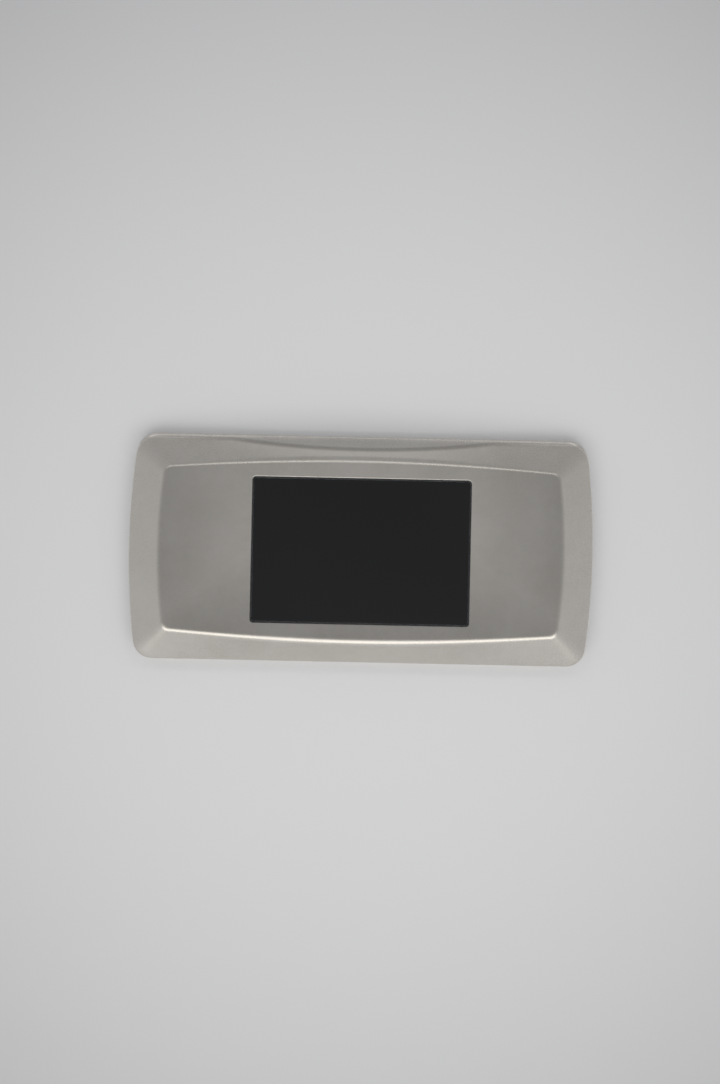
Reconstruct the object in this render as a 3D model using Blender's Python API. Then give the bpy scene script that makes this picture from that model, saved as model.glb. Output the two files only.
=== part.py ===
"""Operator touch panel for a machine: a pressed stainless cover over a folded steel rear tray.

Frame: metres. +Z points out of the front face, +X to the operator's right, +Y to the panel's top
edge. The origin is the middle of the back, in the plane of the foot band that the panel rests on.
"""

import cmath
import math

import bmesh
import bpy
from mathutils import Matrix, Vector

# ---- Overall form -------------------------------------------------------------------------
WIDTH = 0.3500            # across the middle of the bowed left and right sides
COVER_HEIGHT = 0.1675     # bottom edge to top edge of the pressed cover
LEDGE = 0.0032            # how far the tray's top ledge stands out beyond the cover
SIDE_BOW = 0.583          # radius of the left and right sides
STRAIGHT = 1000.0         # radius that stands for a straight side
OUTER_CORNER = 0.0145
SHEET = 0.0012            # thickness of the cover's and the tray's steel
GAP = 0.0003              # clearance between touching pieces

TRAY_HEIGHT = COVER_HEIGHT + LEDGE
COVER_Y = -LEDGE / 2      # middle of the cover, the window and the display
COVER_TOP_EDGE = COVER_Y + COVER_HEIGHT / 2

# ---- Pressed cover ------------------------------------------------------------------------
PLATEAU_Z = 0.0300        # front face of the raised plateau
FLAT_HALF_X = 0.1476      # half width of the plateau's flat, where its edge radius begins
FLAT_HALF_Y = 0.0642
FLAT_BOW_X = 0.520
FLAT_BOW_Y = 1.850
FLAT_CORNER = 0.0060
PLATEAU_EDGE_R = 0.0090   # rounding from the plateau into the sloping wall
FOOT_R = 0.0030           # bend from the sloping wall into the skirt
FOOT_BEND_Z = 0.0104      # height at which the wall has turned vertical
SKIRT_Z = 0.0094          # lower edge of the skirt
ARCH_HALF = 0.0980        # finger arch in the foot of the top wall
ARCH_DEPTH = 0.0067

# ---- Display window -----------------------------------------------------------------------
WINDOW_X = 0.1630
WINDOW_Y = 0.1088
WINDOW_CORNER = 0.0028
WINDOW_EDGE_R = 0.0005    # deburred rounding of the cut edge
WINDOW_JOINT = 0.0012     # joint between the steel and the glass, filled by the seal
GLASS_TOP_Z = 0.0297
GLASS_THICKNESS = 0.0017

# ---- Rear tray ----------------------------------------------------------------------------
TRAY_RIM_Z = 0.0070       # top of the tray's rim, under the cover's skirt
TRAY_BEND_R = 0.0015
FOOT_BAND = 0.0096        # width of the band that the panel rests on
PLATE_Z = 0.0024          # the back plate is raised above the foot band
PLATE_TOP_Z = PLATE_Z + SHEET
RIM_FLANGE = 0.0080
HOOD_LAP = 0.0020         # overlap of the ledge's hood under the cover's top wall
HOOD_GAP = 0.0019         # clearance between the hood and the cover's inner face
BAY_X, BAY_Y = 0.124, 0.032
BAY_CENTRE = (0.0, -0.054)
BAY_CORNER = 0.003
BRACKET_HOLES = 0.075     # square pattern of threaded holes for a wall bracket
BRACKET_CENTRE_Y = 0.010
BRACKET_HOLE_R = 0.0017
FIXING_X, FIXING_Y = 0.138, 0.052   # case screws and their pillars
FIXING_HOLE_R = 0.0024
EDGE_SEAL_OUT, EDGE_SEAL_IN = 0.0007, 0.0030   # the strip's two sides, inward from the tray's side

# ---- Display stack ------------------------------------------------------------------------
TAPE_X, TAPE_Y = 0.1840, 0.1220
TAPE_OPENING_X, TAPE_OPENING_Y = 0.1680, 0.1130
TAPE_CORNER = 0.0030
CARRIER_X, CARRIER_Y = 0.2020, 0.1240
CARRIER_CORNER = 0.0040
CARRIER_TOP_Z = 0.0277
CARRIER_THICKNESS = 0.0010
MODULE_X, MODULE_Y = 0.1650, 0.1000
MODULE_CORNER = 0.0015
MODULE_TOP_Z = 0.0264
MODULE_BOTTOM_Z = 0.0205
ACTIVE_X, ACTIVE_Y = 0.1550, 0.0880
ACTIVE_CORNER = 0.0005
ACTIVE_MARGIN = 0.0010    # of the carrier's opening beyond the display's active area
BEZEL_SHEET = 0.0008
SENSOR_THICKNESS = 0.0007
CELL_THICKNESS = 0.0011
DIFFUSER_THICKNESS = 0.0005
GUIDE_THICKNESS = 0.0015
LED_BAR_X, LED_BAR_THICKNESS = 0.0035, 0.0013
LED_BAR_MARGIN = 0.0030   # at each end of the bar

# ---- Studs, nuts and folded strips that hold the display ----------------------------------
STUD_X, STUD_Y = 0.0950, 0.0500
STUD_R, STUD_LENGTH = 0.0015, 0.0070
STUD_HOLE_R = 0.0019
NUT_FLATS, NUT_HEIGHT, NUT_BORE_R = 0.0055, 0.0022, 0.0018
STRIP_SHEET = 0.0010
STRIP_OUT_X = 0.0995      # outer edge of the strip's flange on the carrier
STRIP_LIP_X = 0.0765      # inner edge of its lip under the module
STRIP_SIDE_GAP = 0.0006
STRIP_HALF_Y = 0.0560

# ---- Case fixings -------------------------------------------------------------------------
PILLAR_FLATS, PILLAR_BORE_R, PILLAR_BORE_DEPTH = 0.0080, 0.0023, 0.0090
CASE_SCREW = (0.0038, 0.0017, 0.0020, 0.0095)    # head radius and height, shank radius and length

# ---- Controller board ---------------------------------------------------------------------
BOARD_X, BOARD_Y = 0.150, 0.094
BOARD_CENTRE = (0.0, -0.026)
BOARD_CORNER = 0.003
BOARD_Z = 0.0164          # underside of the board
BOARD_THICKNESS = 0.0016
BOARD_TOP_Z = BOARD_Z + BOARD_THICKNESS
BOARD_FIXING_X, BOARD_FIXING_Y = 0.070, 0.042
BOARD_HOLE_R = 0.0018
BOARD_SCREW = (0.0027, 0.0015, 0.0014, 0.0070)   # as for the case screw
STANDOFF_FLATS, STANDOFF_BORE_R, STANDOFF_BORE_DEPTH = 0.0055, 0.0017, 0.0070
UNDER_BOARD_Z = BOARD_Z - GAP   # where the parts on the board's underside begin
PORT_Z = 0.0043           # mouths of the ports, just inside the back plate
PORT_Y = -0.054
PORT_EASE = 0.0003

# ---- Smoothness ---------------------------------------------------------------------------
SIDE_STEPS = 5            # segments along half of a left or right side
CORNER_STEPS = 5
LONG_STEPS = 9            # segments along half of a top or bottom side
EDGE_STEPS, WALL_STEPS, FOOT_STEPS = 5, 3, 3   # along the section of the cover's wall
ROUND = 16                # sides of a small cylinder
SCREW_SIDES = 12
OVERCUT = 0.001           # how far a cutter stands out of the piece it cuts

STEEL = ("satin_steel", (0.55, 0.54, 0.52), 0.36, 1.0)
ZINC = ("zinc_plate", (0.62, 0.63, 0.66), 0.35, 1.0)
BLACK_GLASS = ("black_glass", (0.008, 0.008, 0.010), 0.08, 0.0)
DISPLAY_GLASS = ("display_glass", (0.03, 0.03, 0.04), 0.10, 0.0)
BLACK_RUBBER = ("black_rubber", (0.02, 0.02, 0.02), 0.75, 0.0)
BLACK_PLASTIC = ("black_plastic", (0.03, 0.03, 0.03), 0.50, 0.0)
WHITE_PLASTIC = ("white_plastic", (0.80, 0.80, 0.78), 0.45, 0.0)
GREEN_PLASTIC = ("green_plastic", (0.05, 0.30, 0.12), 0.45, 0.0)
ACRYLIC = ("acrylic", (0.85, 0.87, 0.88), 0.15, 0.0)
BOARD_GREEN = ("board_green", (0.02, 0.12, 0.06), 0.45, 0.0)
ALUMINIUM = ("aluminium", (0.75, 0.75, 0.76), 0.40, 1.0)
AMBER_FILM = ("amber_film", (0.55, 0.25, 0.05), 0.35, 0.0)
ADHESIVE = ("adhesive_foam", (0.05, 0.05, 0.05), 0.85, 0.0)


def clear_scene():
    for existing in list(bpy.data.objects):
        bpy.data.objects.remove(existing, do_unlink=True)


def material(spec):
    name, colour, roughness, metallic = spec
    found = bpy.data.materials.get(name)
    if found:
        return found
    made = bpy.data.materials.new(name)
    made.use_nodes = True
    shader = made.node_tree.nodes["Principled BSDF"]
    shader.inputs["Base Color"].default_value = (*colour, 1.0)
    shader.inputs["Roughness"].default_value = roughness
    shader.inputs["Metallic"].default_value = metallic
    return made


def add_piece(name, bm, spec, location=(0, 0, 0)):
    """Turns a closed bmesh into a named object with outward faces and smooth rounds."""
    bmesh.ops.recalc_face_normals(bm, faces=bm.faces)
    mesh = bpy.data.meshes.new(name)
    bm.to_mesh(mesh)
    bm.free()
    mesh.shade_smooth()
    mesh.set_sharp_from_angle(angle=math.radians(32))
    mesh.materials.append(material(spec))
    piece = bpy.data.objects.new(name, mesh)
    piece.location = location
    bpy.context.scene.collection.objects.link(piece)
    return piece


def copy_piece(name, source, location):
    """Another piece of the same shape, which shares its mesh."""
    piece = bpy.data.objects.new(name, source.data)
    piece.location = location
    bpy.context.scene.collection.objects.link(piece)
    for modifier in source.modifiers:
        copied = piece.modifiers.new(modifier.name, modifier.type)
        copied.object = modifier.object
    return piece


def cut(piece, cutter_mesh_name, bm):
    """Takes a bmesh away from a piece with a Boolean modifier."""
    bmesh.ops.recalc_face_normals(bm, faces=bm.faces)
    mesh = bpy.data.meshes.new(cutter_mesh_name)
    bm.to_mesh(mesh)
    bm.free()
    cutter = bpy.data.objects.new(cutter_mesh_name, mesh)
    cutter.display_type = "WIRE"
    cutter.hide_render = True
    bpy.context.scene.collection.objects.link(cutter)
    modifier = piece.modifiers.new("cut_" + cutter_mesh_name, "BOOLEAN")
    modifier.operation = "DIFFERENCE"
    modifier.solver = "EXACT"
    modifier.object = cutter


# ---- Outlines and lofts -------------------------------------------------------------------
def outline(half_x, half_y, bow_x=STRAIGHT, bow_y=STRAIGHT, corner=0.0, centre=(0.0, 0.0)):
    """Rounded rectangle with bowed sides, anticlockwise from the middle of the right side.

    Each side is an arc, and each corner an arc that is tangent to the two sides it joins.
    """
    right, top = complex(half_x - bow_x, 0.0), complex(0.0, half_y - bow_y)
    reach_right, reach_top = bow_x - corner, bow_y - corner
    apart = abs(top - right)
    unit = (top - right) / apart
    along = (apart**2 + reach_right**2 - reach_top**2) / (2 * apart)
    aside = math.sqrt(reach_right**2 - along**2)
    bend = right + unit * complex(along, aside)
    start, end = cmath.phase(bend - right), cmath.phase(bend - top)

    def arc(middle, radius, a0, a1, steps):
        return [middle + cmath.rect(radius, a0 + (a1 - a0) * k / steps) for k in range(steps)]

    quarter = arc(right, bow_x, 0.0, start, SIDE_STEPS)
    quarter += arc(bend, corner, start, end, CORNER_STEPS)
    quarter += arc(top, bow_y, end, math.pi / 2, LONG_STEPS)
    quarter.append(complex(0.0, half_y))
    upper = quarter + [complex(-p.real, p.imag) for p in reversed(quarter[:-1])]
    lower = [p.conjugate() for p in reversed(upper[1:-1])]
    return [Vector((p.real + centre[0], p.imag + centre[1])) for p in upper + lower]


def at_height(points, z):
    return [Vector((p.x, p.y, z)) for p in points]


def loft(rings, ends="joined"):
    """Body from rings of equal length: the last ring is joined to the first, or both are capped."""
    bm = bmesh.new()
    rows = [[bm.verts.new(p) for p in ring] for ring in rings]
    count = len(rings[0])
    for row, following in zip(rows, rows[1:] + (rows[:1] if ends == "joined" else [])):
        for k in range(count):
            bm.faces.new((row[k], row[(k + 1) % count], following[(k + 1) % count], following[k]))
    if ends == "capped":
        bm.faces.new(rows[0])
        bm.faces.new(rows[-1])
    return bm


def plate(points, z0, z1):
    """Flat plate with the given outline."""
    return loft([at_height(points, z0), at_height(points, z1)], "capped")


def frame(outer, inner, z0, z1):
    """Flat frame between two outlines."""
    return loft([at_height(outer, z0), at_height(outer, z1), at_height(inner, z1), at_height(inner, z0)])


def box(size, centre=(0, 0, 0), bevel=0.0):
    """Block, optionally with all its edges eased."""
    bm = bmesh.new()
    bmesh.ops.create_cube(bm, size=1.0)
    bmesh.ops.scale(bm, verts=bm.verts, vec=size)
    if bevel:
        bmesh.ops.bevel(bm, geom=bm.edges[:], offset=bevel, segments=2, affect="EDGES", profile=0.5)
    bmesh.ops.translate(bm, verts=bm.verts, vec=centre)
    return bm


def turned(profile, sides=ROUND):
    """Body of revolution about Z, from (radius, height) pairs that start and end on the axis."""
    bm = bmesh.new()
    rings = []
    for radius, height in profile:
        if radius == 0.0:
            rings.append([bm.verts.new((0, 0, height))])
            continue
        angles = (math.tau * k / sides for k in range(sides))
        rings.append([bm.verts.new((radius * math.cos(a), radius * math.sin(a), height)) for a in angles])
    for low, high in zip(rings, rings[1:]):
        for k in range(sides):
            following = (k + 1) % sides
            corners = [low[k % len(low)], low[following % len(low)],
                       high[following % len(high)], high[k % len(high)]]
            bm.faces.new(list(dict.fromkeys(corners)))
    return bm


def cylinder(radius, z0, z1, x=0.0, y=0.0):
    bm = turned([(0.0, z0), (radius, z0), (radius, z1), (0.0, z1)])
    bmesh.ops.translate(bm, verts=bm.verts, vec=(x, y, 0))
    return bm


def joined(parts):
    """One bmesh that holds several closed bodies."""
    whole = bmesh.new()
    for part in parts:
        mesh = bpy.data.meshes.new("part")
        part.to_mesh(mesh)
        part.free()
        whole.from_mesh(mesh)
        bpy.data.meshes.remove(mesh)
    return whole


def drill(piece, name, places, radius, z0, z1):
    """Round holes along Z at several places, from height z0 to z1 of a piece and a little beyond."""
    cut(piece, name, joined([cylinder(radius, z0 - OVERCUT, z1 + OVERCUT, x, y) for x, y in places]))


def four_corners(half_x, half_y, centre_y=0.0):
    return [(sx * half_x, sy * half_y + centre_y) for sy in (1, -1) for sx in (1, -1)]


# ---- The cover's wall ---------------------------------------------------------------------
def wall_section(run, reach):
    """Section of the cover's wall, whose slope suits a plan distance run from the flat to the foot.

    Two rounds are joined by the straight line that is tangent to both. Where the wall ends early, at
    a plan distance reach, the second round turns it down there. The answer is a function that gives,
    at a length s along the section, the plan distance, the drop below the plateau and the outward
    normal, then the length at which the line has reached a plan distance, then the stations.
    """
    fall = PLATEAU_Z - FOOT_BEND_Z
    a, b, c = run - FOOT_R, PLATEAU_EDGE_R - fall, PLATEAU_EDGE_R - FOOT_R
    slope = math.asin(c / math.hypot(a, b)) - math.atan2(b, a)
    start_out, start_drop = PLATEAU_EDGE_R * math.sin(slope), PLATEAU_EDGE_R * (1 - math.cos(slope))
    end_out = reach - FOOT_R * (1 - math.sin(slope))
    end_drop = start_drop + (end_out - start_out) * math.tan(slope)
    edge_length = PLATEAU_EDGE_R * slope
    line_end = edge_length + (end_out - start_out) / math.cos(slope)
    foot_end = line_end + FOOT_R * (math.pi / 2 - slope)

    def point(s):
        if s <= edge_length:
            turn = s / PLATEAU_EDGE_R
            out, drop = PLATEAU_EDGE_R * math.sin(turn), PLATEAU_EDGE_R * (1 - math.cos(turn))
        elif s <= line_end:
            turn = slope
            out = start_out + (s - edge_length) * math.cos(slope)
            drop = start_drop + (s - edge_length) * math.sin(slope)
        else:
            turn = min(slope + (s - line_end) / FOOT_R, math.pi / 2)
            out = end_out + FOOT_R * (math.sin(turn) - math.sin(slope))
            drop = end_drop + FOOT_R * (math.cos(slope) - math.cos(turn)) + max(0.0, s - foot_end)
        return out, drop, math.sin(turn), math.cos(turn)

    def length_at(out):
        return edge_length + (out - start_out) / math.cos(slope)

    stations = [edge_length * k / EDGE_STEPS for k in range(EDGE_STEPS + 1)]
    stations += [edge_length + (line_end - edge_length) * k / WALL_STEPS for k in range(1, WALL_STEPS + 1)]
    stations += [line_end + (foot_end - line_end) * k / FOOT_STEPS for k in range(1, FOOT_STEPS + 1)]
    stations += [foot_end + FOOT_BEND_Z - SKIRT_Z]
    return point, length_at, stations


def arch_edge(x):
    """Y of the finger arch's edge, seen from the front."""
    return COVER_TOP_EDGE - ARCH_DEPTH * (1 - (x / ARCH_HALF) ** 2)


class WallColumn:
    """One upright strip of the cover's wall, from the plateau's flat to the foot or to the arch."""

    def __init__(self, flat_point, foot_point):
        self.base = flat_point
        step = foot_point - flat_point
        self.direction = step.normalized()
        self.reach = step.length
        at_top = foot_point.y > COVER_TOP_EDGE - 1e-5
        if at_top and abs(foot_point.x) < ARCH_HALF - 1e-6:
            for _ in range(8):
                x = self.base.x + self.direction.x * self.reach
                self.reach = (arch_edge(x) - self.base.y) / self.direction.y
        self.point, self.length_at, self.stations = wall_section(step.length, self.reach)

    def at(self, s, depth):
        """Point at length s along the section, at a depth below the outer face."""
        out, drop, normal_out, normal_up = self.point(s)
        plan = self.base + self.direction * (out - depth * normal_out)
        return Vector((plan.x, plan.y, PLATEAU_Z - drop - depth * normal_up))


def cover_outline():
    return outline(WIDTH / 2, COVER_HEIGHT / 2, SIDE_BOW, STRAIGHT, OUTER_CORNER, (0, COVER_Y))


def wall_columns():
    flat = outline(FLAT_HALF_X, FLAT_HALF_Y, FLAT_BOW_X, FLAT_BOW_Y, FLAT_CORNER, (0, COVER_Y))
    return [WallColumn(a, b) for a, b in zip(flat, cover_outline())]


def window_outline(grow=0.0):
    return outline(WINDOW_X / 2 + grow, WINDOW_Y / 2 + grow, corner=WINDOW_CORNER + grow, centre=(0, COVER_Y))


def front_cover():
    """Pressed stainless cover: flat plateau with the window, rounded edge, sloping wall, skirt."""
    columns = wall_columns()
    stations = range(len(columns[0].stations))
    outer = [[c.at(c.stations[k], 0.0) for c in columns] for k in stations]
    inner = [[c.at(c.stations[k], SHEET) for c in columns] for k in stations]
    eased = WINDOW_EDGE_R * (1 - math.sqrt(0.5))
    window = [at_height(window_outline(), PLATEAU_Z - SHEET),
              at_height(window_outline(), PLATEAU_Z - WINDOW_EDGE_R),
              at_height(window_outline(eased), PLATEAU_Z - eased),
              at_height(window_outline(WINDOW_EDGE_R), PLATEAU_Z)]
    add_piece("front_cover", loft(window + outer + inner[::-1]), STEEL)


# ---- Rear tray ----------------------------------------------------------------------------
def tray_outline(inset=0.0):
    return outline(WIDTH / 2 - inset, TRAY_HEIGHT / 2 - inset, SIDE_BOW - inset, STRAIGHT,
                   OUTER_CORNER - inset)


def hood_edge():
    """Inner edge of the tray's rim: a level flange, which rises along the top side as a hood.

    The hood lies under the cover's top wall and shows through the finger arch.
    """
    quarter = SIDE_STEPS + CORNER_STEPS + LONG_STEPS
    edge = []
    flange = at_height(tray_outline(RIM_FLANGE), TRAY_RIM_Z)
    for k, (column, level) in enumerate(zip(wall_columns(), flange)):
        lap = column.length_at(column.reach - HOOD_LAP)
        raised = column.at(lap, SHEET + HOOD_GAP)
        from_side = min(k, 2 * quarter - k) - SIDE_STEPS
        share = min(1.0, max(0.0, from_side / CORNER_STEPS))
        edge.append(level.lerp(raised, share * share * (3 - 2 * share)))
    return edge


def rear_tray():
    """Folded and welded tray: foot band, raised back plate with the port bay, rim and hood."""
    eased = TRAY_BEND_R * (1 - math.sqrt(0.5))
    inner_bend = TRAY_BEND_R + GAP
    bay = outline(BAY_X / 2, BAY_Y / 2, corner=BAY_CORNER, centre=BAY_CENTRE)
    hood = hood_edge()
    down = Vector((0, 0, -SHEET))
    rings = [at_height(bay, PLATE_Z),
             at_height(tray_outline(FOOT_BAND + PLATE_Z), PLATE_Z),
             at_height(tray_outline(FOOT_BAND), 0.0),
             at_height(tray_outline(TRAY_BEND_R), 0.0),
             at_height(tray_outline(eased), eased),
             at_height(tray_outline(), TRAY_BEND_R),
             at_height(tray_outline(), TRAY_RIM_Z - TRAY_BEND_R),
             at_height(tray_outline(eased), TRAY_RIM_Z - eased),
             at_height(tray_outline(TRAY_BEND_R), TRAY_RIM_Z),
             hood,
             [p + down for p in hood],
             at_height(tray_outline(inner_bend), TRAY_RIM_Z - SHEET),
             at_height(tray_outline(SHEET), TRAY_RIM_Z - inner_bend),
             at_height(tray_outline(SHEET), inner_bend),
             at_height(tray_outline(inner_bend), SHEET),
             at_height(tray_outline(FOOT_BAND - SHEET / 2), SHEET),
             at_height(tray_outline(FOOT_BAND + PLATE_Z - SHEET / 2), PLATE_TOP_Z),
             at_height(bay, PLATE_TOP_Z)]
    tray = add_piece("rear_tray", loft(rings), STEEL)
    half = BRACKET_HOLES / 2
    for name, places, radius in (("bracket_holes", four_corners(half, half, BRACKET_CENTRE_Y), BRACKET_HOLE_R),
                                 ("fixing_holes", four_corners(FIXING_X, FIXING_Y), FIXING_HOLE_R)):
        drill(tray, name, places, radius, PLATE_Z, PLATE_TOP_Z)


def edge_seal():
    """Rubber strip in the joint between the cover's skirt and the tray's rim, on three sides."""
    outer, inner = tray_outline(EDGE_SEAL_OUT), tray_outline(EDGE_SEAL_IN)
    quarter = SIDE_STEPS + CORNER_STEPS + LONG_STEPS
    z0, z1 = TRAY_RIM_Z + GAP, SKIRT_Z - GAP
    rings = []
    for k in range(2 * quarter - SIDE_STEPS, 4 * quarter + SIDE_STEPS + 1):
        o, i = outer[k % len(outer)], inner[k % len(inner)]
        rings.append([(o.x, o.y, z0), (o.x, o.y, z1), (i.x, i.y, z1), (i.x, i.y, z0)])
    add_piece("edge_seal", loft(rings, "capped"), BLACK_RUBBER)


# ---- Display ------------------------------------------------------------------------------
def rectangle(size_x, size_y, corner):
    return outline(size_x / 2, size_y / 2, corner=corner, centre=(0, COVER_Y))


def display_stack():
    """Touch glass, seal, tape, carrier and the layers of the display module, from the front back."""
    glass_inset = -WINDOW_JOINT
    glass_bottom = GLASS_TOP_Z - GLASS_THICKNESS
    add_piece("touch_glass", plate(window_outline(glass_inset), glass_bottom, GLASS_TOP_Z), BLACK_GLASS)
    add_piece("window_seal", frame(window_outline(-GAP), window_outline(glass_inset + GAP),
                                   CARRIER_TOP_Z + GAP, GLASS_TOP_Z - GAP), BLACK_RUBBER)
    add_piece("carrier_tape", frame(rectangle(TAPE_X, TAPE_Y, TAPE_CORNER),
                                    rectangle(TAPE_OPENING_X, TAPE_OPENING_Y, TAPE_CORNER),
                                    CARRIER_TOP_Z + GAP, PLATEAU_Z - SHEET - GAP), ADHESIVE)
    carrier_bottom = CARRIER_TOP_Z - CARRIER_THICKNESS
    opening = rectangle(ACTIVE_X + 2 * ACTIVE_MARGIN, ACTIVE_Y + 2 * ACTIVE_MARGIN,
                        ACTIVE_CORNER + ACTIVE_MARGIN)
    carrier = add_piece("display_carrier", frame(rectangle(CARRIER_X, CARRIER_Y, CARRIER_CORNER), opening,
                                                 carrier_bottom, CARRIER_TOP_Z), ZINC)
    drill(carrier, "carrier_holes", four_corners(STUD_X, STUD_Y, COVER_Y), STUD_HOLE_R,
          carrier_bottom, CARRIER_TOP_Z)
    active = rectangle(ACTIVE_X, ACTIVE_Y, ACTIVE_CORNER)
    sensor_top = glass_bottom - GAP
    add_piece("touch_sensor", plate(active, sensor_top - SENSOR_THICKNESS, sensor_top), DISPLAY_GLASS)

    inside_x, inside_y = MODULE_X - 2 * BEZEL_SHEET, MODULE_Y - 2 * BEZEL_SHEET
    inside_top = MODULE_TOP_Z - BEZEL_SHEET
    outer = rectangle(MODULE_X, MODULE_Y, MODULE_CORNER)
    inside = rectangle(inside_x, inside_y, MODULE_CORNER - BEZEL_SHEET)
    bezel = [at_height(outer, MODULE_BOTTOM_Z), at_height(outer, MODULE_TOP_Z),
             at_height(active, MODULE_TOP_Z), at_height(active, inside_top),
             at_height(inside, inside_top), at_height(inside, MODULE_BOTTOM_Z)]
    add_piece("lcd_bezel", loft(bezel), ZINC)

    fit_x, fit_y = inside_x - 2 * GAP, inside_y - 2 * GAP
    fit = rectangle(fit_x, fit_y, ACTIVE_CORNER)
    top = inside_top - GAP
    for name, thickness, spec in (("lcd_cell", CELL_THICKNESS, DISPLAY_GLASS),
                                  ("diffuser_sheet", DIFFUSER_THICKNESS, WHITE_PLASTIC)):
        add_piece(name, plate(fit, top - thickness, top), spec)
        top -= thickness + GAP
    bar_space = LED_BAR_X + GAP
    middle_z = top - GUIDE_THICKNESS / 2
    add_piece("light_guide", box((fit_x - bar_space, fit_y, GUIDE_THICKNESS)), ACRYLIC,
              (bar_space / 2, COVER_Y, middle_z))
    add_piece("led_bar", box((LED_BAR_X, fit_y - 2 * LED_BAR_MARGIN, LED_BAR_THICKNESS), bevel=0.0001),
              WHITE_PLASTIC, ((LED_BAR_X - fit_x) / 2, COVER_Y, middle_z))
    top -= GUIDE_THICKNESS + GAP
    add_piece("backlight_tray", plate(fit, MODULE_BOTTOM_Z, top), ALUMINIUM)


def module_brackets():
    """Two folded strips that hold the display module up against the carrier."""
    flange_top = CARRIER_TOP_Z - CARRIER_THICKNESS - GAP
    flange_bottom = flange_top - STRIP_SHEET
    lip_top = MODULE_BOTTOM_Z - GAP
    lip_bottom = lip_top - STRIP_SHEET
    web_in = MODULE_X / 2 + STRIP_SIDE_GAP
    web_out = web_in + STRIP_SHEET
    profile = [(STRIP_OUT_X, flange_top), (STRIP_OUT_X, flange_bottom), (web_out, flange_bottom),
               (web_out, lip_bottom), (STRIP_LIP_X, lip_bottom), (STRIP_LIP_X, lip_top),
               (web_in, lip_top), (web_in, flange_top)]
    for name, side in (("left_bracket", -1), ("right_bracket", 1)):
        ends = [[(side * x, COVER_Y + end * STRIP_HALF_Y, z) for x, z in profile] for end in (-1, 1)]
        strip = add_piece(name, loft(ends, "capped"), ZINC)
        places = [(side * STUD_X, COVER_Y + end * STUD_Y) for end in (1, -1)]
        drill(strip, name + "_holes", places, STUD_HOLE_R, flange_bottom, flange_top)


# ---- Screws, nuts and pillars -------------------------------------------------------------
def pan_screw(head_r, head_h, shank_r, length, head_up):
    """Pan-head screw with a twelve-point socket; its head's seat is at the local origin."""
    socket_r, socket_depth = head_r * 0.45, head_h * 0.6
    bm = turned([(0.0, -length), (shank_r * 0.8, -length), (shank_r, -length + shank_r * 0.3), (shank_r, 0.0),
                 (head_r, 0.0), (head_r, head_h * 0.45), (head_r * 0.8, head_h * 0.85),
                 (head_r * 0.62, head_h), (socket_r, head_h), (socket_r, head_h - socket_depth),
                 (0.0, head_h - socket_depth)], SCREW_SIDES)
    if not head_up:
        bmesh.ops.rotate(bm, verts=bm.verts, cent=(0, 0, 0), matrix=Matrix.Rotation(math.pi, 3, "X"))
    return bm


def hexagon(across_flats):
    """Hexagon with a point at the middle of each side too, so that it matches a round bore."""
    ring = []
    for k in range(SCREW_SIDES):
        radius = across_flats / 2 if k % 2 else across_flats / math.sqrt(3)
        angle = math.tau * k / SCREW_SIDES
        ring.append(Vector((radius * math.cos(angle), radius * math.sin(angle))))
    return ring


def bore_circle(radius):
    angles = [math.tau * k / SCREW_SIDES for k in range(SCREW_SIDES)]
    return [Vector((radius * math.cos(a), radius * math.sin(a))) for a in angles]


def pillar_body(across_flats, height, bore_r, bore_depth):
    """Hexagonal pillar standing on the local origin, with a blind threaded bore from its foot."""
    hexagonal, bore = hexagon(across_flats), bore_circle(bore_r)
    return loft([at_height(hexagonal, height), at_height(hexagonal, 0.0), at_height(bore, 0.0),
                 at_height(bore, bore_depth)], "capped")


def nut_body():
    """Hexagonal nut whose upper face is at the local origin."""
    return frame(hexagon(NUT_FLATS), bore_circle(NUT_BORE_R), -NUT_HEIGHT, 0.0)


def repeat(name, bm, spec, places):
    """The same piece at each place, numbered from 1."""
    first = add_piece(f"{name}_1", bm, spec, places[0])
    for number, place in enumerate(places[1:], 2):
        copy_piece(f"{name}_{number}", first, place)


def fasteners():
    """Welded studs and nuts for the display, and pillars and screws that close the case."""
    studs = four_corners(STUD_X, STUD_Y, COVER_Y)
    root_r, tip = STUD_R + 0.0001, 0.0004
    stud = turned([(0.0, -STUD_LENGTH), (STUD_R - tip, -STUD_LENGTH), (STUD_R, tip - STUD_LENGTH),
                   (STUD_R, STUD_R - root_r), (root_r, 0.0), (0.0, 0.0)], SCREW_SIDES)
    repeat("weld_stud", stud, ZINC, [(x, y, PLATEAU_Z - SHEET - GAP) for x, y in studs])
    nut_top = CARRIER_TOP_Z - CARRIER_THICKNESS - STRIP_SHEET - 2 * GAP
    repeat("stud_nut", nut_body(), ZINC, [(x, y, nut_top) for x, y in studs])

    pillar_foot = PLATE_TOP_Z + GAP
    pillar_height = PLATEAU_Z - SHEET - GAP - pillar_foot
    pillar = pillar_body(PILLAR_FLATS, pillar_height, PILLAR_BORE_R, PILLAR_BORE_DEPTH)
    fixings = four_corners(FIXING_X, FIXING_Y)
    repeat("cover_pillar", pillar, ZINC, [(x, y, pillar_foot) for x, y in fixings])
    case_screw = pan_screw(*CASE_SCREW, head_up=False)
    repeat("case_screw", case_screw, ZINC, [(x, y, PLATE_Z - GAP) for x, y in fixings])


# ---- Controller board ---------------------------------------------------------------------
def board_fixings():
    cx, cy = BOARD_CENTRE
    return [(cx + x, cy + y) for x, y in four_corners(BOARD_FIXING_X, BOARD_FIXING_Y)]


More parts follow.
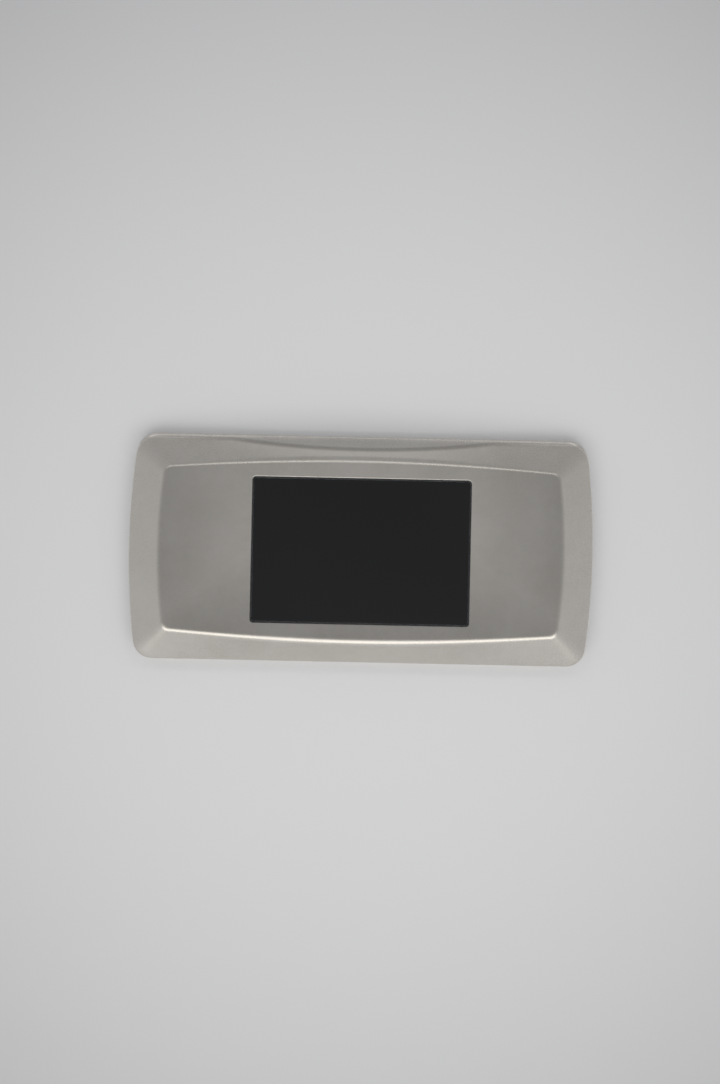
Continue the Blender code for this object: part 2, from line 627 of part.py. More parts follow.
def controller_board():
    """Board on four standoffs, held by a screw at each."""
    points = outline(BOARD_X / 2, BOARD_Y / 2, corner=BOARD_CORNER, centre=BOARD_CENTRE)
    board = add_piece("controller_board", plate(points, BOARD_Z, BOARD_TOP_Z), BOARD_GREEN)
    drill(board, "board_holes", board_fixings(), BOARD_HOLE_R, BOARD_Z, BOARD_TOP_Z)
    height = UNDER_BOARD_Z - PLATE_TOP_Z - GAP
    standoff = pillar_body(STANDOFF_FLATS, height, STANDOFF_BORE_R, STANDOFF_BORE_DEPTH)
    bmesh.ops.rotate(standoff, verts=standoff.verts, cent=(0, 0, 0), matrix=Matrix.Rotation(math.pi, 3, "X"))
    repeat("board_standoff", standoff, ZINC, [(x, y, UNDER_BOARD_Z) for x, y in board_fixings()])
    screw = pan_screw(*BOARD_SCREW, head_up=True)
    repeat("board_screw", screw, ZINC, [(x, y, BOARD_TOP_Z + GAP) for x, y in board_fixings()])


def eased_rectangle(size_x, size_y):
    """Rectangle about the local origin with its corners cut off, anticlockwise."""
    x, y = size_x / 2, size_y / 2
    in_x, in_y = x - PORT_EASE, y - PORT_EASE
    points = [(x, -in_y), (x, in_y), (in_x, y), (-in_x, y), (-x, in_y), (-x, -in_y), (-in_x, -y), (in_x, -y)]
    return [Vector(p) for p in points]


def socket_block(size, mouth, height, depth):
    """Port body hanging below the local origin, with a rectangular mouth in its lower face."""
    outer, inner = eased_rectangle(*size), eased_rectangle(*mouth)
    return loft([at_height(outer, 0.0), at_height(outer, -height), at_height(inner, -height),
                 at_height(inner, depth - height)], "capped")


def ports():
    """Ports on the underside of the board, with their mouths in the bay of the back plate."""
    # name, outside, mouth, depth of the mouth, X of the middle, material
    pieces = [("power_inlet", (0.0200, 0.0120), (0.0172, 0.0086), 0.0080, -0.049, GREEN_PLASTIC),
              ("ethernet_jack", (0.0160, 0.0160), (0.0118, 0.0086), 0.0095, -0.0275, ZINC),
              ("usb_port", (0.0145, 0.0072), (0.0125, 0.0052), 0.0095, -0.0085, ZINC),
              ("serial_port", (0.0150, 0.0110), (0.0122, 0.0076), 0.0070, 0.0100, BLACK_PLASTIC)]
    height = UNDER_BOARD_Z - PORT_Z
    for name, size, mouth, depth, x, spec in pieces:
        add_piece(name, socket_block(size, mouth, height, depth), spec, (x, PORT_Y, UNDER_BOARD_Z))


def memory_card_and_socket():
    """Card socket under the board, its mouth facing the bay, and the card that slides out of it."""
    card = Vector((0.0240, 0.0320, 0.0021))
    wall = 0.0006
    socket_x, socket_y0, socket_y1 = 0.0345, -0.0365, -0.0070
    size = (card.x + 2 * wall + 2 * GAP, socket_y1 - socket_y0, card.z + 2 * wall + 2 * GAP)
    centre = Vector((socket_x, (socket_y0 + socket_y1) / 2, UNDER_BOARD_Z - size[2] / 2))
    socket = add_piece("card_socket", box(size), ZINC, centre)
    mouth_y0, mouth_y1 = socket_y0 - OVERCUT, socket_y1 - wall
    slot = box((card.x + 2 * GAP, mouth_y1 - mouth_y0, card.z + 2 * GAP),
               (centre.x, (mouth_y0 + mouth_y1) / 2, centre.z))
    cut(socket, "card_slot", slot)
    half_x, half_y, clipped = card.x / 2, card.y / 2, 0.004
    points = [(-half_x, -half_y), (half_x, -half_y), (half_x, half_y - clipped), (half_x - clipped, half_y),
              (-half_x, half_y)]
    add_piece("memory_card", plate([Vector(p) for p in points], -card.z / 2, card.z / 2), BLACK_PLASTIC,
              (centre.x, mouth_y1 - GAP - half_y, centre.z))


def reset_switch():
    """Tactile reset switch: square body with a well, and the sprung plunger in it."""
    x, y = 0.0575, -0.0620
    body_side, body_h, well_r, well_depth = 0.0062, 0.0040, 0.0021, 0.0024
    body = add_piece("reset_switch", box((body_side, body_side, body_h), bevel=0.0002), BLACK_PLASTIC,
                     (x, y, UNDER_BOARD_Z - body_h / 2))
    lower = UNDER_BOARD_Z - body_h
    cut(body, "reset_well", cylinder(well_r, lower - OVERCUT, lower + well_depth, x, y))
    reach_in, reach_out, radius = 0.0014, 0.0034, 0.0017
    plunger = turned([(0.0, -reach_out), (radius * 0.8, -reach_out), (radius, -reach_out + radius * 0.2),
                      (radius, reach_in), (0.0, reach_in)])
    add_piece("reset_button", plunger, WHITE_PLASTIC, (x, y, lower))


def mode_switch():
    """Two-way slide switch for bus termination and boot mode, with two levers in slots."""
    x, y = 0.0575, -0.0475
    body_x, body_y, body_h = 0.0074, 0.0062, 0.0045
    pitch, travel, slot_h = 0.0030, 0.0015, 0.0028
    lever = Vector((0.0012, 0.0014, 0.0020))
    lower = UNDER_BOARD_Z - body_h
    body = add_piece("mode_switch", box((body_x, body_y, body_h), bevel=0.0002), BLACK_PLASTIC,
                     (x, y, UNDER_BOARD_Z - body_h / 2))
    slot = (lever.x + 2 * GAP, lever.y + travel + 2 * GAP, slot_h)
    columns = [x + side * pitch / 2 for side in (-1, 1)]
    cut(body, "mode_slots", joined([box(slot, (column, y, lower)) for column in columns]))
    places = [(column, y - travel / 2, lower) for column in columns]
    repeat("mode_lever", box(lever, bevel=0.0001), WHITE_PLASTIC, places)


def board_parts():
    """Processor with its heat block to the back plate, clock battery, buzzer and film connector."""
    chip_x, chip_y, chip_side, chip_h = -0.008, -0.010, 0.0170, 0.0014
    add_piece("processor", box((chip_side, chip_side, chip_h), bevel=0.0002), BLACK_PLASTIC,
              (chip_x, chip_y, UNDER_BOARD_Z - chip_h / 2))
    block_side, block_foot = 0.0280, PLATE_TOP_Z + GAP
    block_h = UNDER_BOARD_Z - chip_h - GAP - block_foot
    add_piece("heat_block", box((block_side, block_side, block_h), bevel=0.0006), ALUMINIUM,
              (chip_x, chip_y, block_foot + block_h / 2))

    round_sides = 24
    holder_h, rim = 0.0046, 0.0011
    cell_r, cell_h, cell_step = 0.0100, 0.0032, 0.0005
    well_r, floor = cell_r + GAP, 0.0010
    cup = turned([(0.0, 0.0), (well_r + rim, 0.0), (well_r + rim, -holder_h), (well_r, -holder_h),
                  (well_r, -floor), (0.0, -floor)], round_sides)
    battery_place = (-0.045, -0.010, UNDER_BOARD_Z)
    add_piece("battery_holder", cup, BLACK_PLASTIC, battery_place)
    cell_top = -floor - GAP
    cell = turned([(0.0, cell_top), (cell_r * 0.9, cell_top), (cell_r, cell_top - cell_step),
                   (cell_r, cell_top - cell_h), (0.0, cell_top - cell_h)], round_sides)
    add_piece("clock_battery", cell, ZINC, battery_place)

    buzzer_r, buzzer_h, buzzer_ease = 0.0060, 0.0070, 0.0004
    sound_r, sound_depth = 0.0010, 0.0020
    buzzer = turned([(0.0, 0.0), (buzzer_r, 0.0), (buzzer_r, buzzer_ease - buzzer_h),
                     (buzzer_r - buzzer_ease, -buzzer_h), (sound_r, -buzzer_h),
                     (sound_r, sound_depth - buzzer_h), (0.0, sound_depth - buzzer_h)])
    add_piece("buzzer", buzzer, BLACK_PLASTIC, (0.060, -0.018, UNDER_BOARD_Z))

    connector_x, connector_y, connector_h, place_y = 0.0340, 0.0050, 0.0018, 0.0140
    add_piece("film_connector", box((connector_x, connector_y, connector_h), bevel=0.0002), WHITE_PLASTIC,
              (0.0, place_y, BOARD_TOP_Z + GAP + connector_h / 2))


def display_film():
    """Flexible circuit from the display module's top side, round its edge to the board."""
    half_width, thickness, steps = 0.0150, 0.0003, 8
    level_out, level_in = 0.0238, BOARD_TOP_Z + 0.0012
    start_y, end_y = COVER_Y + MODULE_Y / 2 + GAP, 0.0168
    turn_r = (level_out - level_in) / 2
    turn_y = start_y + 0.0035
    middle = [Vector((start_y, level_out)), Vector((turn_y, level_out))]
    for k in range(1, steps):
        angle = math.pi / 2 - math.pi * k / steps
        middle.append(Vector((turn_y + turn_r * math.cos(angle), level_in + turn_r + turn_r * math.sin(angle))))
    middle += [Vector((turn_y, level_in)), Vector((end_y, level_in))]
    outer, inner = [], []
    for k, point in enumerate(middle):
        before, after = middle[max(k - 1, 0)], middle[min(k + 1, len(middle) - 1)]
        along = (after - before).normalized()
        side = Vector((-along.y, along.x)) * thickness / 2
        outer.append(point + side)
        inner.append(point - side)
    section = outer + inner[::-1]
    edges = [[(x, p.x, p.y) for p in section] for x in (-half_width, half_width)]
    add_piece("display_film", loft(edges, "capped"), AMBER_FILM)


def main():
    clear_scene()
    front_cover()
    rear_tray()
    edge_seal()
    display_stack()
    module_brackets()
    fasteners()
    controller_board()
    ports()
    memory_card_and_socket()
    reset_switch()
    mode_switch()
    board_parts()
    display_film()


main()
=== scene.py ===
"""Looks of the operator touch panel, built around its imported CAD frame.

The panel lies on its back on a pale table, as a satin stainless cover with a black glass window, and
the camera looks straight down at it. Lengths are in metres, in the frame's own axes: +Z points out of
the front face and +Y to the panel's top edge.
"""

import cmath
import math

import bmesh
import bpy
from mathutils import Matrix, Vector


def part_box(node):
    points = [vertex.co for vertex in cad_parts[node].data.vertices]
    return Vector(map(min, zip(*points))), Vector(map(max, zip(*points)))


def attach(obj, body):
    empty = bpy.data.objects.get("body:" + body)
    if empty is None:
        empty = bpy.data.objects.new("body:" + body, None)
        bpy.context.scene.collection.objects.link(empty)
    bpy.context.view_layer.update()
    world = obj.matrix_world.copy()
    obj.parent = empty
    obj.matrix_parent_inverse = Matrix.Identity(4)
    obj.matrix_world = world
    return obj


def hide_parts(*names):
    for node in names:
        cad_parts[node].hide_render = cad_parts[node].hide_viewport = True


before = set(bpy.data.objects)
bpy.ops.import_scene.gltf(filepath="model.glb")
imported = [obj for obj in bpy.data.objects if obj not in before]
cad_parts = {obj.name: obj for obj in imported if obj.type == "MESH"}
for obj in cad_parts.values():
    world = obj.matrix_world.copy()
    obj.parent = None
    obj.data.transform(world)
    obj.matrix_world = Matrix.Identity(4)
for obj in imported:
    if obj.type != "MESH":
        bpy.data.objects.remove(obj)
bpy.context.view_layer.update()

# ---- Sizes, from the frame where it holds them ------------------------------------------------
MM = 0.001
cover_low, cover_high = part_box("front_cover")
tray_low, tray_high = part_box("rear_tray")
seal_low, seal_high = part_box("window_seal")
glass_low, glass_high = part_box("touch_glass")

GAP = 0.3 * MM
WIDTH = cover_high.x - cover_low.x
COVER_HEIGHT = cover_high.y - cover_low.y
COVER_Y = (cover_high.y + cover_low.y) / 2
COVER_TOP_EDGE = cover_high.y
PLATEAU_Z = cover_high.z
SKIRT_Z = cover_low.z
TRAY_HEIGHT = tray_high.y - tray_low.y
WINDOW_X = seal_high.x - seal_low.x + 2 * GAP
WINDOW_Y = seal_high.y - seal_low.y + 2 * GAP
WINDOW_JOINT = (WINDOW_X - glass_high.x + glass_low.x) / 2

# ---- Shape of the pressed cover ---------------------------------------------------------------
SHEET = 1.2 * MM
SIDE_BOW = 583 * MM                          # radius of the bowed left and right sides
STRAIGHT = 1000.0                            # radius of a side that is as good as straight
OUTER_CORNER = 14.5 * MM
FLAT_HALF_X, FLAT_HALF_Y = 147.6 * MM, 64.2 * MM
FLAT_BOW_X, FLAT_BOW_Y = 520 * MM, 1850 * MM  # radii of the flat's sides
FLAT_CORNER = 6 * MM
PLATEAU_EDGE_R = 9 * MM
FOOT_R = 3 * MM
FOOT_BEND_Z = SKIRT_Z + 1.0 * MM             # where the wall has turned upright
ARCH_HALF, ARCH_DEPTH = 98 * MM, 6.7 * MM
WINDOW_CORNER = 2.8 * MM
WINDOW_EDGE_R = 0.5 * MM
CUT_EDGE_R = 0.25 * MM

# ---- The steel's finish, with painted shade as shares of black --------------------------------
BLACK = (0.0, 0.0, 0.0)
STEEL_ROUGHNESS = 0.28
ARCH_SHADE_SHARE = 0.42                            # of painted shade in the finger arch's joint
ARCH_SHADE_CORE, ARCH_SHADE_REACH = 0.4 * MM, 2.4 * MM   # from the joint: as far as it is full, and where it ends
ARCH_SHADE_SHIFT = 0.75 * MM                       # of the painted shade band, towards the cover
ARCH_SHADE_HALF, ARCH_SHADE_END = 0.8 * ARCH_HALF, 1.4 * ARCH_HALF
SHADED_ENDS, SHADED_FOOT = 0.22, 0.28            # painted shade on the plateau's ends and on its lower side

# ---- Shape of the tray ------------------------------------------------------------------------
TRAY_RIM_Z = 7.0 * MM
TRAY_BEND_R = 1.5 * MM
FOOT_BAND = 9.6 * MM
PLATE_Z = 2.4 * MM
PLATE_TOP_Z = PLATE_Z + SHEET
PLATE_BEND_R = 0.6 * MM
RIM_FLANGE = 8 * MM
HOOD_LAP, HOOD_GAP = 2.0 * MM, 1.9 * MM      # how far and how deep the hood lies under the wall
BAY_X, BAY_Y, BAY_CENTRE = 124 * MM, 32 * MM, (0.0, -54 * MM)
BAY_CORNER = 3 * MM
BRACKET_PITCH, BRACKET_Y, BRACKET_HOLE_R = 75 * MM, 10 * MM, 1.7 * MM
FIXING_X, FIXING_Y, FIXING_HOLE_R = 138 * MM, 52 * MM, 2.4 * MM

# ---- Smoothness of the fine shells ------------------------------------------------------------
SIDE_STEPS, CORNER_STEPS, LONG_STEPS = 14, 10, 36
QUARTER = SIDE_STEPS + CORNER_STEPS + LONG_STEPS
EDGE_STEPS, WALL_STEPS, FOOT_STEPS = 14, 6, 8
ROUND_STEPS = 8
HOLE_SIDES, TURNED_SIDES = 32, 48


# ---- Materials --------------------------------------------------------------------------------
class Surface:
    """A Principled material whose nodes are added one at a time."""

    def __init__(self, name, colour, roughness, metallic=0.0, **values):
        self.material = bpy.data.materials.new(name)
        self.material.use_nodes = True
        self.nodes = self.material.node_tree.nodes
        self.links = self.material.node_tree.links
        self.shader = self.nodes["Principled BSDF"]
        self.set("Base Color", (*colour, 1.0))
        self.set("Roughness", roughness)
        self.set("Metallic", metallic)
        for label, value in values.items():
            self.set(label.replace("_", " "), value)
        self.place = self.nodes.new("ShaderNodeTexCoord").outputs["Object"]
        self.normal = None

    def set(self, label, value):
        self.shader.inputs[label].default_value = value

    def feed(self, value, socket):
        """Links a node's output to a socket, or sets the socket to a colour or a number."""
        if isinstance(value, bpy.types.NodeSocket):
            self.links.new(value, socket)
        elif isinstance(value, tuple):
            socket.default_value = (*value, 1.0)
        else:
            socket.default_value = value

    def noise(self, scale, detail=3.0, roughness=0.5, stretch=None):
        """Noise in the object's own coordinates, which may be stretched along an axis."""
        place = self.place
        if stretch:
            mapping = self.nodes.new("ShaderNodeMapping")
            mapping.inputs["Scale"].default_value = stretch
            self.links.new(place, mapping.inputs["Vector"])
            place = mapping.outputs["Vector"]
        node = self.nodes.new("ShaderNodeTexNoise")
        node.inputs["Scale"].default_value = scale
        node.inputs["Detail"].default_value = detail
        node.inputs["Roughness"].default_value = roughness
        self.links.new(place, node.inputs["Vector"])
        return node.outputs["Fac"]

    def spread(self, value, low, high, start=0.3, end=0.7):
        """Carries the part of a value between start and end onto the range low to high."""
        node = self.nodes.new("ShaderNodeMapRange")
        self.links.new(value, node.inputs["Value"])
        for label, number in (("From Min", start), ("From Max", end), ("To Min", low), ("To Max", high)):
            node.inputs[label].default_value = number
        return node.outputs["Result"]

    def mix(self, share, first, second):
        """Blend of two colours, all of the second one at a share of 1."""
        node = self.nodes.new("ShaderNodeMix")
        node.data_type = "RGBA"
        first_colour, second_colour, blend = node.inputs[6], node.inputs[7], node.outputs[2]
        for value, socket in ((share, node.inputs["Factor"]), (first, first_colour), (second, second_colour)):
            self.feed(value, socket)
        return blend

    def math(self, kind, first, second=0.0):
        node = self.nodes.new("ShaderNodeMath")
        node.operation = kind
        self.feed(first, node.inputs[0])
        self.feed(second, node.inputs[1])
        return node.outputs[0]

    def axes(self):
        """The three coordinates of the object's own frame."""
        node = self.nodes.new("ShaderNodeSeparateXYZ")
        self.links.new(self.place, node.inputs["Vector"])
        return node.outputs

    def drive(self, label, value):
        self.links.new(value, self.shader.inputs[label])

    def darken(self, share):
        """Lays a share of black over the base colour's nodes."""
        finish = self.shader.inputs["Base Color"].links[0].from_socket
        self.drive("Base Color", self.mix(share, finish, BLACK))

    def bump(self, value, strength, distance):
        """Adds relief on top of the bumps there are."""
        node = self.nodes.new("ShaderNodeBump")
        node.inputs["Strength"].default_value = strength
        node.inputs["Distance"].default_value = distance
        self.links.new(value, node.inputs["Height"])
        if self.normal:
            self.links.new(self.normal, node.inputs["Normal"])
        self.normal = node.outputs["Normal"]
        self.links.new(self.normal, self.shader.inputs["Normal"])


def satin_steel(name, light, dark):
    """Stainless sheet: fine matt grain and faint cloudiness, over slightly uneven flats."""
    steel = Surface(name, light, STEEL_ROUGHNESS, metallic=1.0)
    cloud = steel.noise(26, detail=4, roughness=0.55)
    blotch = steel.noise(140, detail=3, roughness=0.6)
    grain = steel.noise(2400, detail=2, roughness=0.7)
    shade = steel.math("ADD", steel.spread(cloud, 0.0, 0.55), steel.spread(blotch, 0.0, 0.25))
    shade = steel.math("ADD", shade, steel.spread(grain, 0.0, 0.2))
    steel.drive("Base Color", steel.mix(shade, dark, light))
    cloudy = steel.spread(cloud, STEEL_ROUGHNESS - 0.02, STEEL_ROUGHNESS + 0.02)
    steel.drive("Roughness", steel.math("ADD", cloudy, steel.spread(grain, -0.03, 0.03)))
    steel.bump(steel.noise(14, detail=2, roughness=0.4), 0.25, 0.4 * MM)
    steel.bump(grain, 0.2, 0.03 * MM)
    return steel


def arch_painted_shade(steel, along, across):
    """Share of painted shade beside the finger arch's joint, standing in for the shadow in the gap under the
    arch's edge.
    """
    square = steel.math("MULTIPLY", along, along)
    highest = COVER_TOP_EDGE - ARCH_SHADE_SHIFT
    joint = steel.spread(square, highest - ARCH_DEPTH, highest, 0.0, ARCH_HALF**2)
    off = steel.math("ABSOLUTE", steel.math("SUBTRACT", across, joint))
    near = steel.spread(off, ARCH_SHADE_SHARE, 0.0, ARCH_SHADE_CORE, ARCH_SHADE_REACH)
    inside = steel.spread(square, 1.0, 0.0, ARCH_SHADE_HALF**2, ARCH_SHADE_END**2)
    return steel.math("MULTIPLY", near, inside)


def tray_finish():
    """The tray's steel, with painted shade on its hood along the finger arch's joint."""
    steel = satin_steel("tray_steel_finish", (0.70, 0.672, 0.632), (0.635, 0.605, 0.562))
    along, across, up = steel.axes()
    hood = steel.spread(up, 0.0, 1.0, TRAY_RIM_Z - 2 * MM, TRAY_RIM_Z - 1 * MM)
    # painted shade: the hood is darkened beside the arch's joint, where the gap under the cover's edge is in
    # shadow
    steel.darken(steel.math("MULTIPLY", arch_painted_shade(steel, along, across), hood))
    return steel.material


def cover_finish():
    """The cover's steel, with painted shade: darker towards the plateau's ends and lower side, and beside the
    arch's joint.
    """
    steel = satin_steel("cover_steel_finish", (0.665, 0.635, 0.590), (0.595, 0.562, 0.512))
    along, across, up = steel.axes()
    # painted shade: the plateau is darkened at its ends and lower side, where the steel reflects a darker
    # part of the room
    end = steel.spread(steel.math("ABSOLUTE", along), 0.0, SHADED_ENDS, WINDOW_X / 2, FLAT_HALF_X)
    foot = steel.spread(across, SHADED_FOOT, 0.0, COVER_Y - FLAT_HALF_Y, COVER_Y)
    flat = steel.spread(up, 0.0, 1.0, PLATEAU_Z - 1.0 * MM, PLATEAU_Z - 0.1 * MM)
    painted_shade = steel.math("MULTIPLY", steel.math("MAXIMUM", end, foot), flat)
    steel.darken(steel.math("MAXIMUM", painted_shade, arch_painted_shade(steel, along, across)))
    return steel.material


def black_glass():
    """Cover glass printed black behind: deep black, smooth, with the faintest handling marks."""
    glass = Surface("black_glass_finish", (0.0040, 0.0040, 0.0045), 0.10, IOR=1.45)
    smear = glass.noise(35, detail=4, roughness=0.6, stretch=(1, 0.6, 1))
    glass.drive("Roughness", glass.spread(smear, 0.07, 0.15))
    return glass.material


def moulded(name, colour, roughness=0.5, grain=0.25, **values):
    """Moulded plastic or rubber: fine eroded texture and slightly uneven colour."""
    plastic = Surface(name, colour, roughness, **values)
    texture = plastic.noise(3200, detail=2, roughness=0.6)
    cloud = plastic.noise(90, detail=3)
    paler = tuple(min(1.0, c * 1.25 + 0.004) for c in colour)
    plastic.drive("Base Color", plastic.mix(plastic.spread(cloud, 0.0, 1.0), colour, paler))
    plastic.drive("Roughness", plastic.spread(texture, roughness - 0.06, roughness + 0.08))
    plastic.bump(texture, grain, 0.05 * MM)
    return plastic.material


def plated(name, light, dark, roughness, stretch=None):
    """Plated or rolled metal: cloudy spangle, with streaks where the stock was drawn."""
    metal = Surface(name, light, roughness, metallic=1.0)
    spangle = metal.noise(420, detail=4, roughness=0.65, stretch=stretch)
    metal.drive("Base Color", metal.mix(metal.spread(spangle, 0.0, 1.0), dark, light))
    metal.drive("Roughness", metal.spread(metal.noise(1500, detail=2), roughness - 0.07, roughness + 0.09))
    metal.bump(spangle, 0.15, 0.03 * MM)
    return metal.material


def circuit_board():
    """Green solder mask over copper: paler tracks in two directions and a fine woven glass grain."""
    board = Surface("board_finish", (0.012, 0.085, 0.040), 0.32, Coat_Weight=0.4, Coat_Roughness=0.15)
    tracks = []
    for scale, turn in ((160.0, 0.0), (110.0, math.pi / 2)):
        mapping = board.nodes.new("ShaderNodeMapping")
        mapping.inputs["Rotation"].default_value = (0.0, 0.0, turn)
        board.links.new(board.place, mapping.inputs["Vector"])
        bricks = board.nodes.new("ShaderNodeTexBrick")
        bricks.inputs["Scale"].default_value = scale
        bricks.inputs["Mortar Size"].default_value = 0.035
        bricks.inputs["Mortar Smooth"].default_value = 0.3
        board.links.new(mapping.outputs["Vector"], bricks.inputs["Vector"])
        tracks.append(bricks.outputs["Fac"])
    track = board.math("MAXIMUM", *tracks)
    poured = board.spread(board.noise(60, detail=1), 0.0, 1.0, start=0.48, end=0.52)
    copper = board.math("MULTIPLY", track, poured)
    board.drive("Base Color", board.mix(copper, (0.010, 0.075, 0.036), (0.030, 0.190, 0.080)))
    board.bump(track, 0.3, 0.04 * MM)
    board.bump(board.noise(2500, detail=1), 0.1, 0.02 * MM)
    return board.material


def light_sheet(name, colour, roughness, **values):
    """Smooth film, acrylic or display glass, with a slight ripple."""
    sheet = Surface(name, colour, roughness, **values)
    ripple = sheet.noise(60, detail=2)
    sheet.drive("Roughness", sheet.spread(ripple, max(0.02, roughness - 0.05), roughness + 0.08))
    sheet.bump(ripple, 0.1, 0.05 * MM)
    return sheet.material


FINISH = {
    "cover_steel": cover_finish(),
    "tray_steel": tray_finish(),
    "black_glass": black_glass(),
    "seal_rubber": moulded("seal_rubber_finish", (0.020, 0.020, 0.021), 0.70, 0.4),
    "adhesive": moulded("adhesive_finish", (0.050, 0.050, 0.052), 0.85, 0.6),
    "display_glass": light_sheet("display_glass_finish", (0.030, 0.032, 0.040), 0.10),
    "galvanised": plated("galvanised_finish", (0.66, 0.67, 0.69), (0.50, 0.51, 0.53), 0.38),
    "white_film": light_sheet("white_film_finish", (0.85, 0.85, 0.84), 0.45),
    "acrylic": light_sheet("acrylic_finish", (0.88, 0.90, 0.90), 0.08, Transmission_Weight=0.85, IOR=1.49),
    "white_plastic": moulded("white_plastic_finish", (0.72, 0.72, 0.69), 0.42),
    "aluminium": plated("aluminium_finish", (0.80, 0.80, 0.81), (0.70, 0.70, 0.71), 0.36, (1, 8, 1)),
    "black_plastic": moulded("black_plastic_finish", (0.020, 0.020, 0.021), 0.45),
    "green_plastic": moulded("green_plastic_finish", (0.030, 0.260, 0.090), 0.40),
    "port_shell": plated("port_shell_finish", (0.74, 0.74, 0.72), (0.62, 0.62, 0.60), 0.28, (1, 1, 6)),
    "board": circuit_board(),
    "flex_film": light_sheet("flex_film_finish", (0.52, 0.24, 0.05), 0.30, Coat_Weight=0.3),
    "battery_steel": plated("battery_steel_finish", (0.72, 0.72, 0.71), (0.60, 0.60, 0.59), 0.25),
    "zinc_fastener": plated("zinc_fastener_finish", (0.68, 0.69, 0.71), (0.52, 0.53, 0.56), 0.30),
}
GOLD = plated("contact_gold_finish", (0.83, 0.62, 0.25), (0.74, 0.53, 0.20), 0.22)
TIN = plated("solder_tin_finish", (0.70, 0.70, 0.68), (0.58, 0.58, 0.57), 0.33)


# ---- Mesh helpers -----------------------------------------------------------------------------
def to_mesh(name, bm, material, sharp):
    """Mesh from a bmesh, smooth where its faces meet at less than the angle sharp in degrees."""
    bmesh.ops.recalc_face_normals(bm, faces=bm.faces)
    mesh = bpy.data.meshes.new(name)
    bm.to_mesh(mesh)
    bm.free()
    mesh.shade_smooth()
    mesh.set_sharp_from_angle(angle=math.radians(sharp))
    mesh.materials.append(material)
    return mesh


def place_piece(name, mesh, replaces=(), body="panel", location=(0, 0, 0)):
    """Object that rides on a CAD body and stands for the CAD nodes it replaces."""
    piece = bpy.data.objects.new(name, mesh)
    piece.location = location
    bpy.context.scene.collection.objects.link(piece)
    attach(piece, body)
    if replaces:
        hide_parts(*replaces)


def add_piece(name, bm, slot, replaces=(), body="panel", material=None, sharp=50):
    mesh = to_mesh(name, bm, material or FINISH[slot], sharp)
    place_piece(name, mesh, replaces, body)


def outline(half_x, half_y, bow_x=STRAIGHT, bow_y=STRAIGHT, corner=0.0, centre=(0.0, 0.0)):
    """Rounded rectangle with bowed sides, anticlockwise from the middle of the right side.

    Each side is an arc, and each corner an arc that is tangent to the two sides it joins.
    """
    right, top = complex(half_x - bow_x, 0.0), complex(0.0, half_y - bow_y)
    reach_right, reach_top = bow_x - corner, bow_y - corner
    apart = abs(top - right)
    unit = (top - right) / apart
    along = (apart**2 + reach_right**2 - reach_top**2) / (2 * apart)
    aside = math.sqrt(reach_right**2 - along**2)
    bend = right + unit * complex(along, aside)
    start, end = cmath.phase(bend - right), cmath.phase(bend - top)

    def arc(middle, radius, a0, a1, steps):
        return [middle + cmath.rect(radius, a0 + (a1 - a0) * k / steps) for k in range(steps)]

    quarter = arc(right, bow_x, 0.0, start, SIDE_STEPS)
    quarter += arc(bend, corner, start, end, CORNER_STEPS)
    quarter += arc(top, bow_y, end, math.pi / 2, LONG_STEPS)
    quarter.append(complex(0.0, half_y))
    upper = quarter + [complex(-p.real, p.imag) for p in reversed(quarter[:-1])]
    lower = [p.conjugate() for p in reversed(upper[1:-1])]
    return [Vector((p.real + centre[0], p.imag + centre[1])) for p in upper + lower]


def at_height(points, z):
    return [Vector((p.x, p.y, z)) for p in points]


def loft(rings, ends="joined"):
    """Body from rings of equal length: the last ring is joined to the first, or both are capped."""
    bm = bmesh.new()
    rows = [[bm.verts.new(p) for p in ring] for ring in rings]
    count = len(rings[0])
    for row, following in zip(rows, rows[1:] + (rows[:1] if ends == "joined" else [])):
        for k in range(count):
            bm.faces.new((row[k], row[(k + 1) % count], following[(k + 1) % count], following[k]))
    if ends == "capped":
        bm.faces.new(rows[0])
        bm.faces.new(rows[-1])
    return bm


def quarter_turns(steps):
    """Angles from 0 to a right angle."""
    return [math.pi / 2 * k / steps for k in range(steps + 1)]


def rounded(radius, steps=4):
    """(inset, drop) pairs round a quarter circle, from the side of an edge to its top."""
    return [(radius * (1 - math.cos(a)), radius * (1 - math.sin(a))) for a in quarter_turns(steps)]


def fillet(corners, radii, steps=5):
    """Rounds each inner corner of an open line of (inset, height) pairs."""
    points = [Vector(corners[0])]
    for before, corner, after, radius in zip(corners, corners[1:], corners[2:], radii):
        before, corner, after = Vector(before), Vector(corner), Vector(after)
        back, ahead = (before - corner).normalized(), (after - corner).normalized()
        half = back.angle(ahead) / 2
        middle = corner + (back + ahead).normalized() * radius / math.sin(half)
        start, end = corner + back * radius / math.tan(half), corner + ahead * radius / math.tan(half)
        for k in range(steps + 1):
            spoke = (start - middle).lerp(end - middle, k / steps)
            points.append(middle + spoke.normalized() * radius)
    return points + [Vector(corners[-1])]


def ease(bm, edge, segments=3):
    """Rounds all the edges of a body."""
    bmesh.ops.bevel(bm, geom=bm.edges[:], offset=edge, segments=segments, affect="EDGES", profile=0.5)


def block(size, centre, edge=0.2 * MM, segments=3):
    """Block with all its edges rounded."""
    bm = bmesh.new()
    bmesh.ops.create_cube(bm, size=1.0)
    bmesh.ops.scale(bm, verts=bm.verts, vec=size)
    ease(bm, edge, segments)
    bmesh.ops.translate(bm, verts=bm.verts, vec=centre)
    return bm


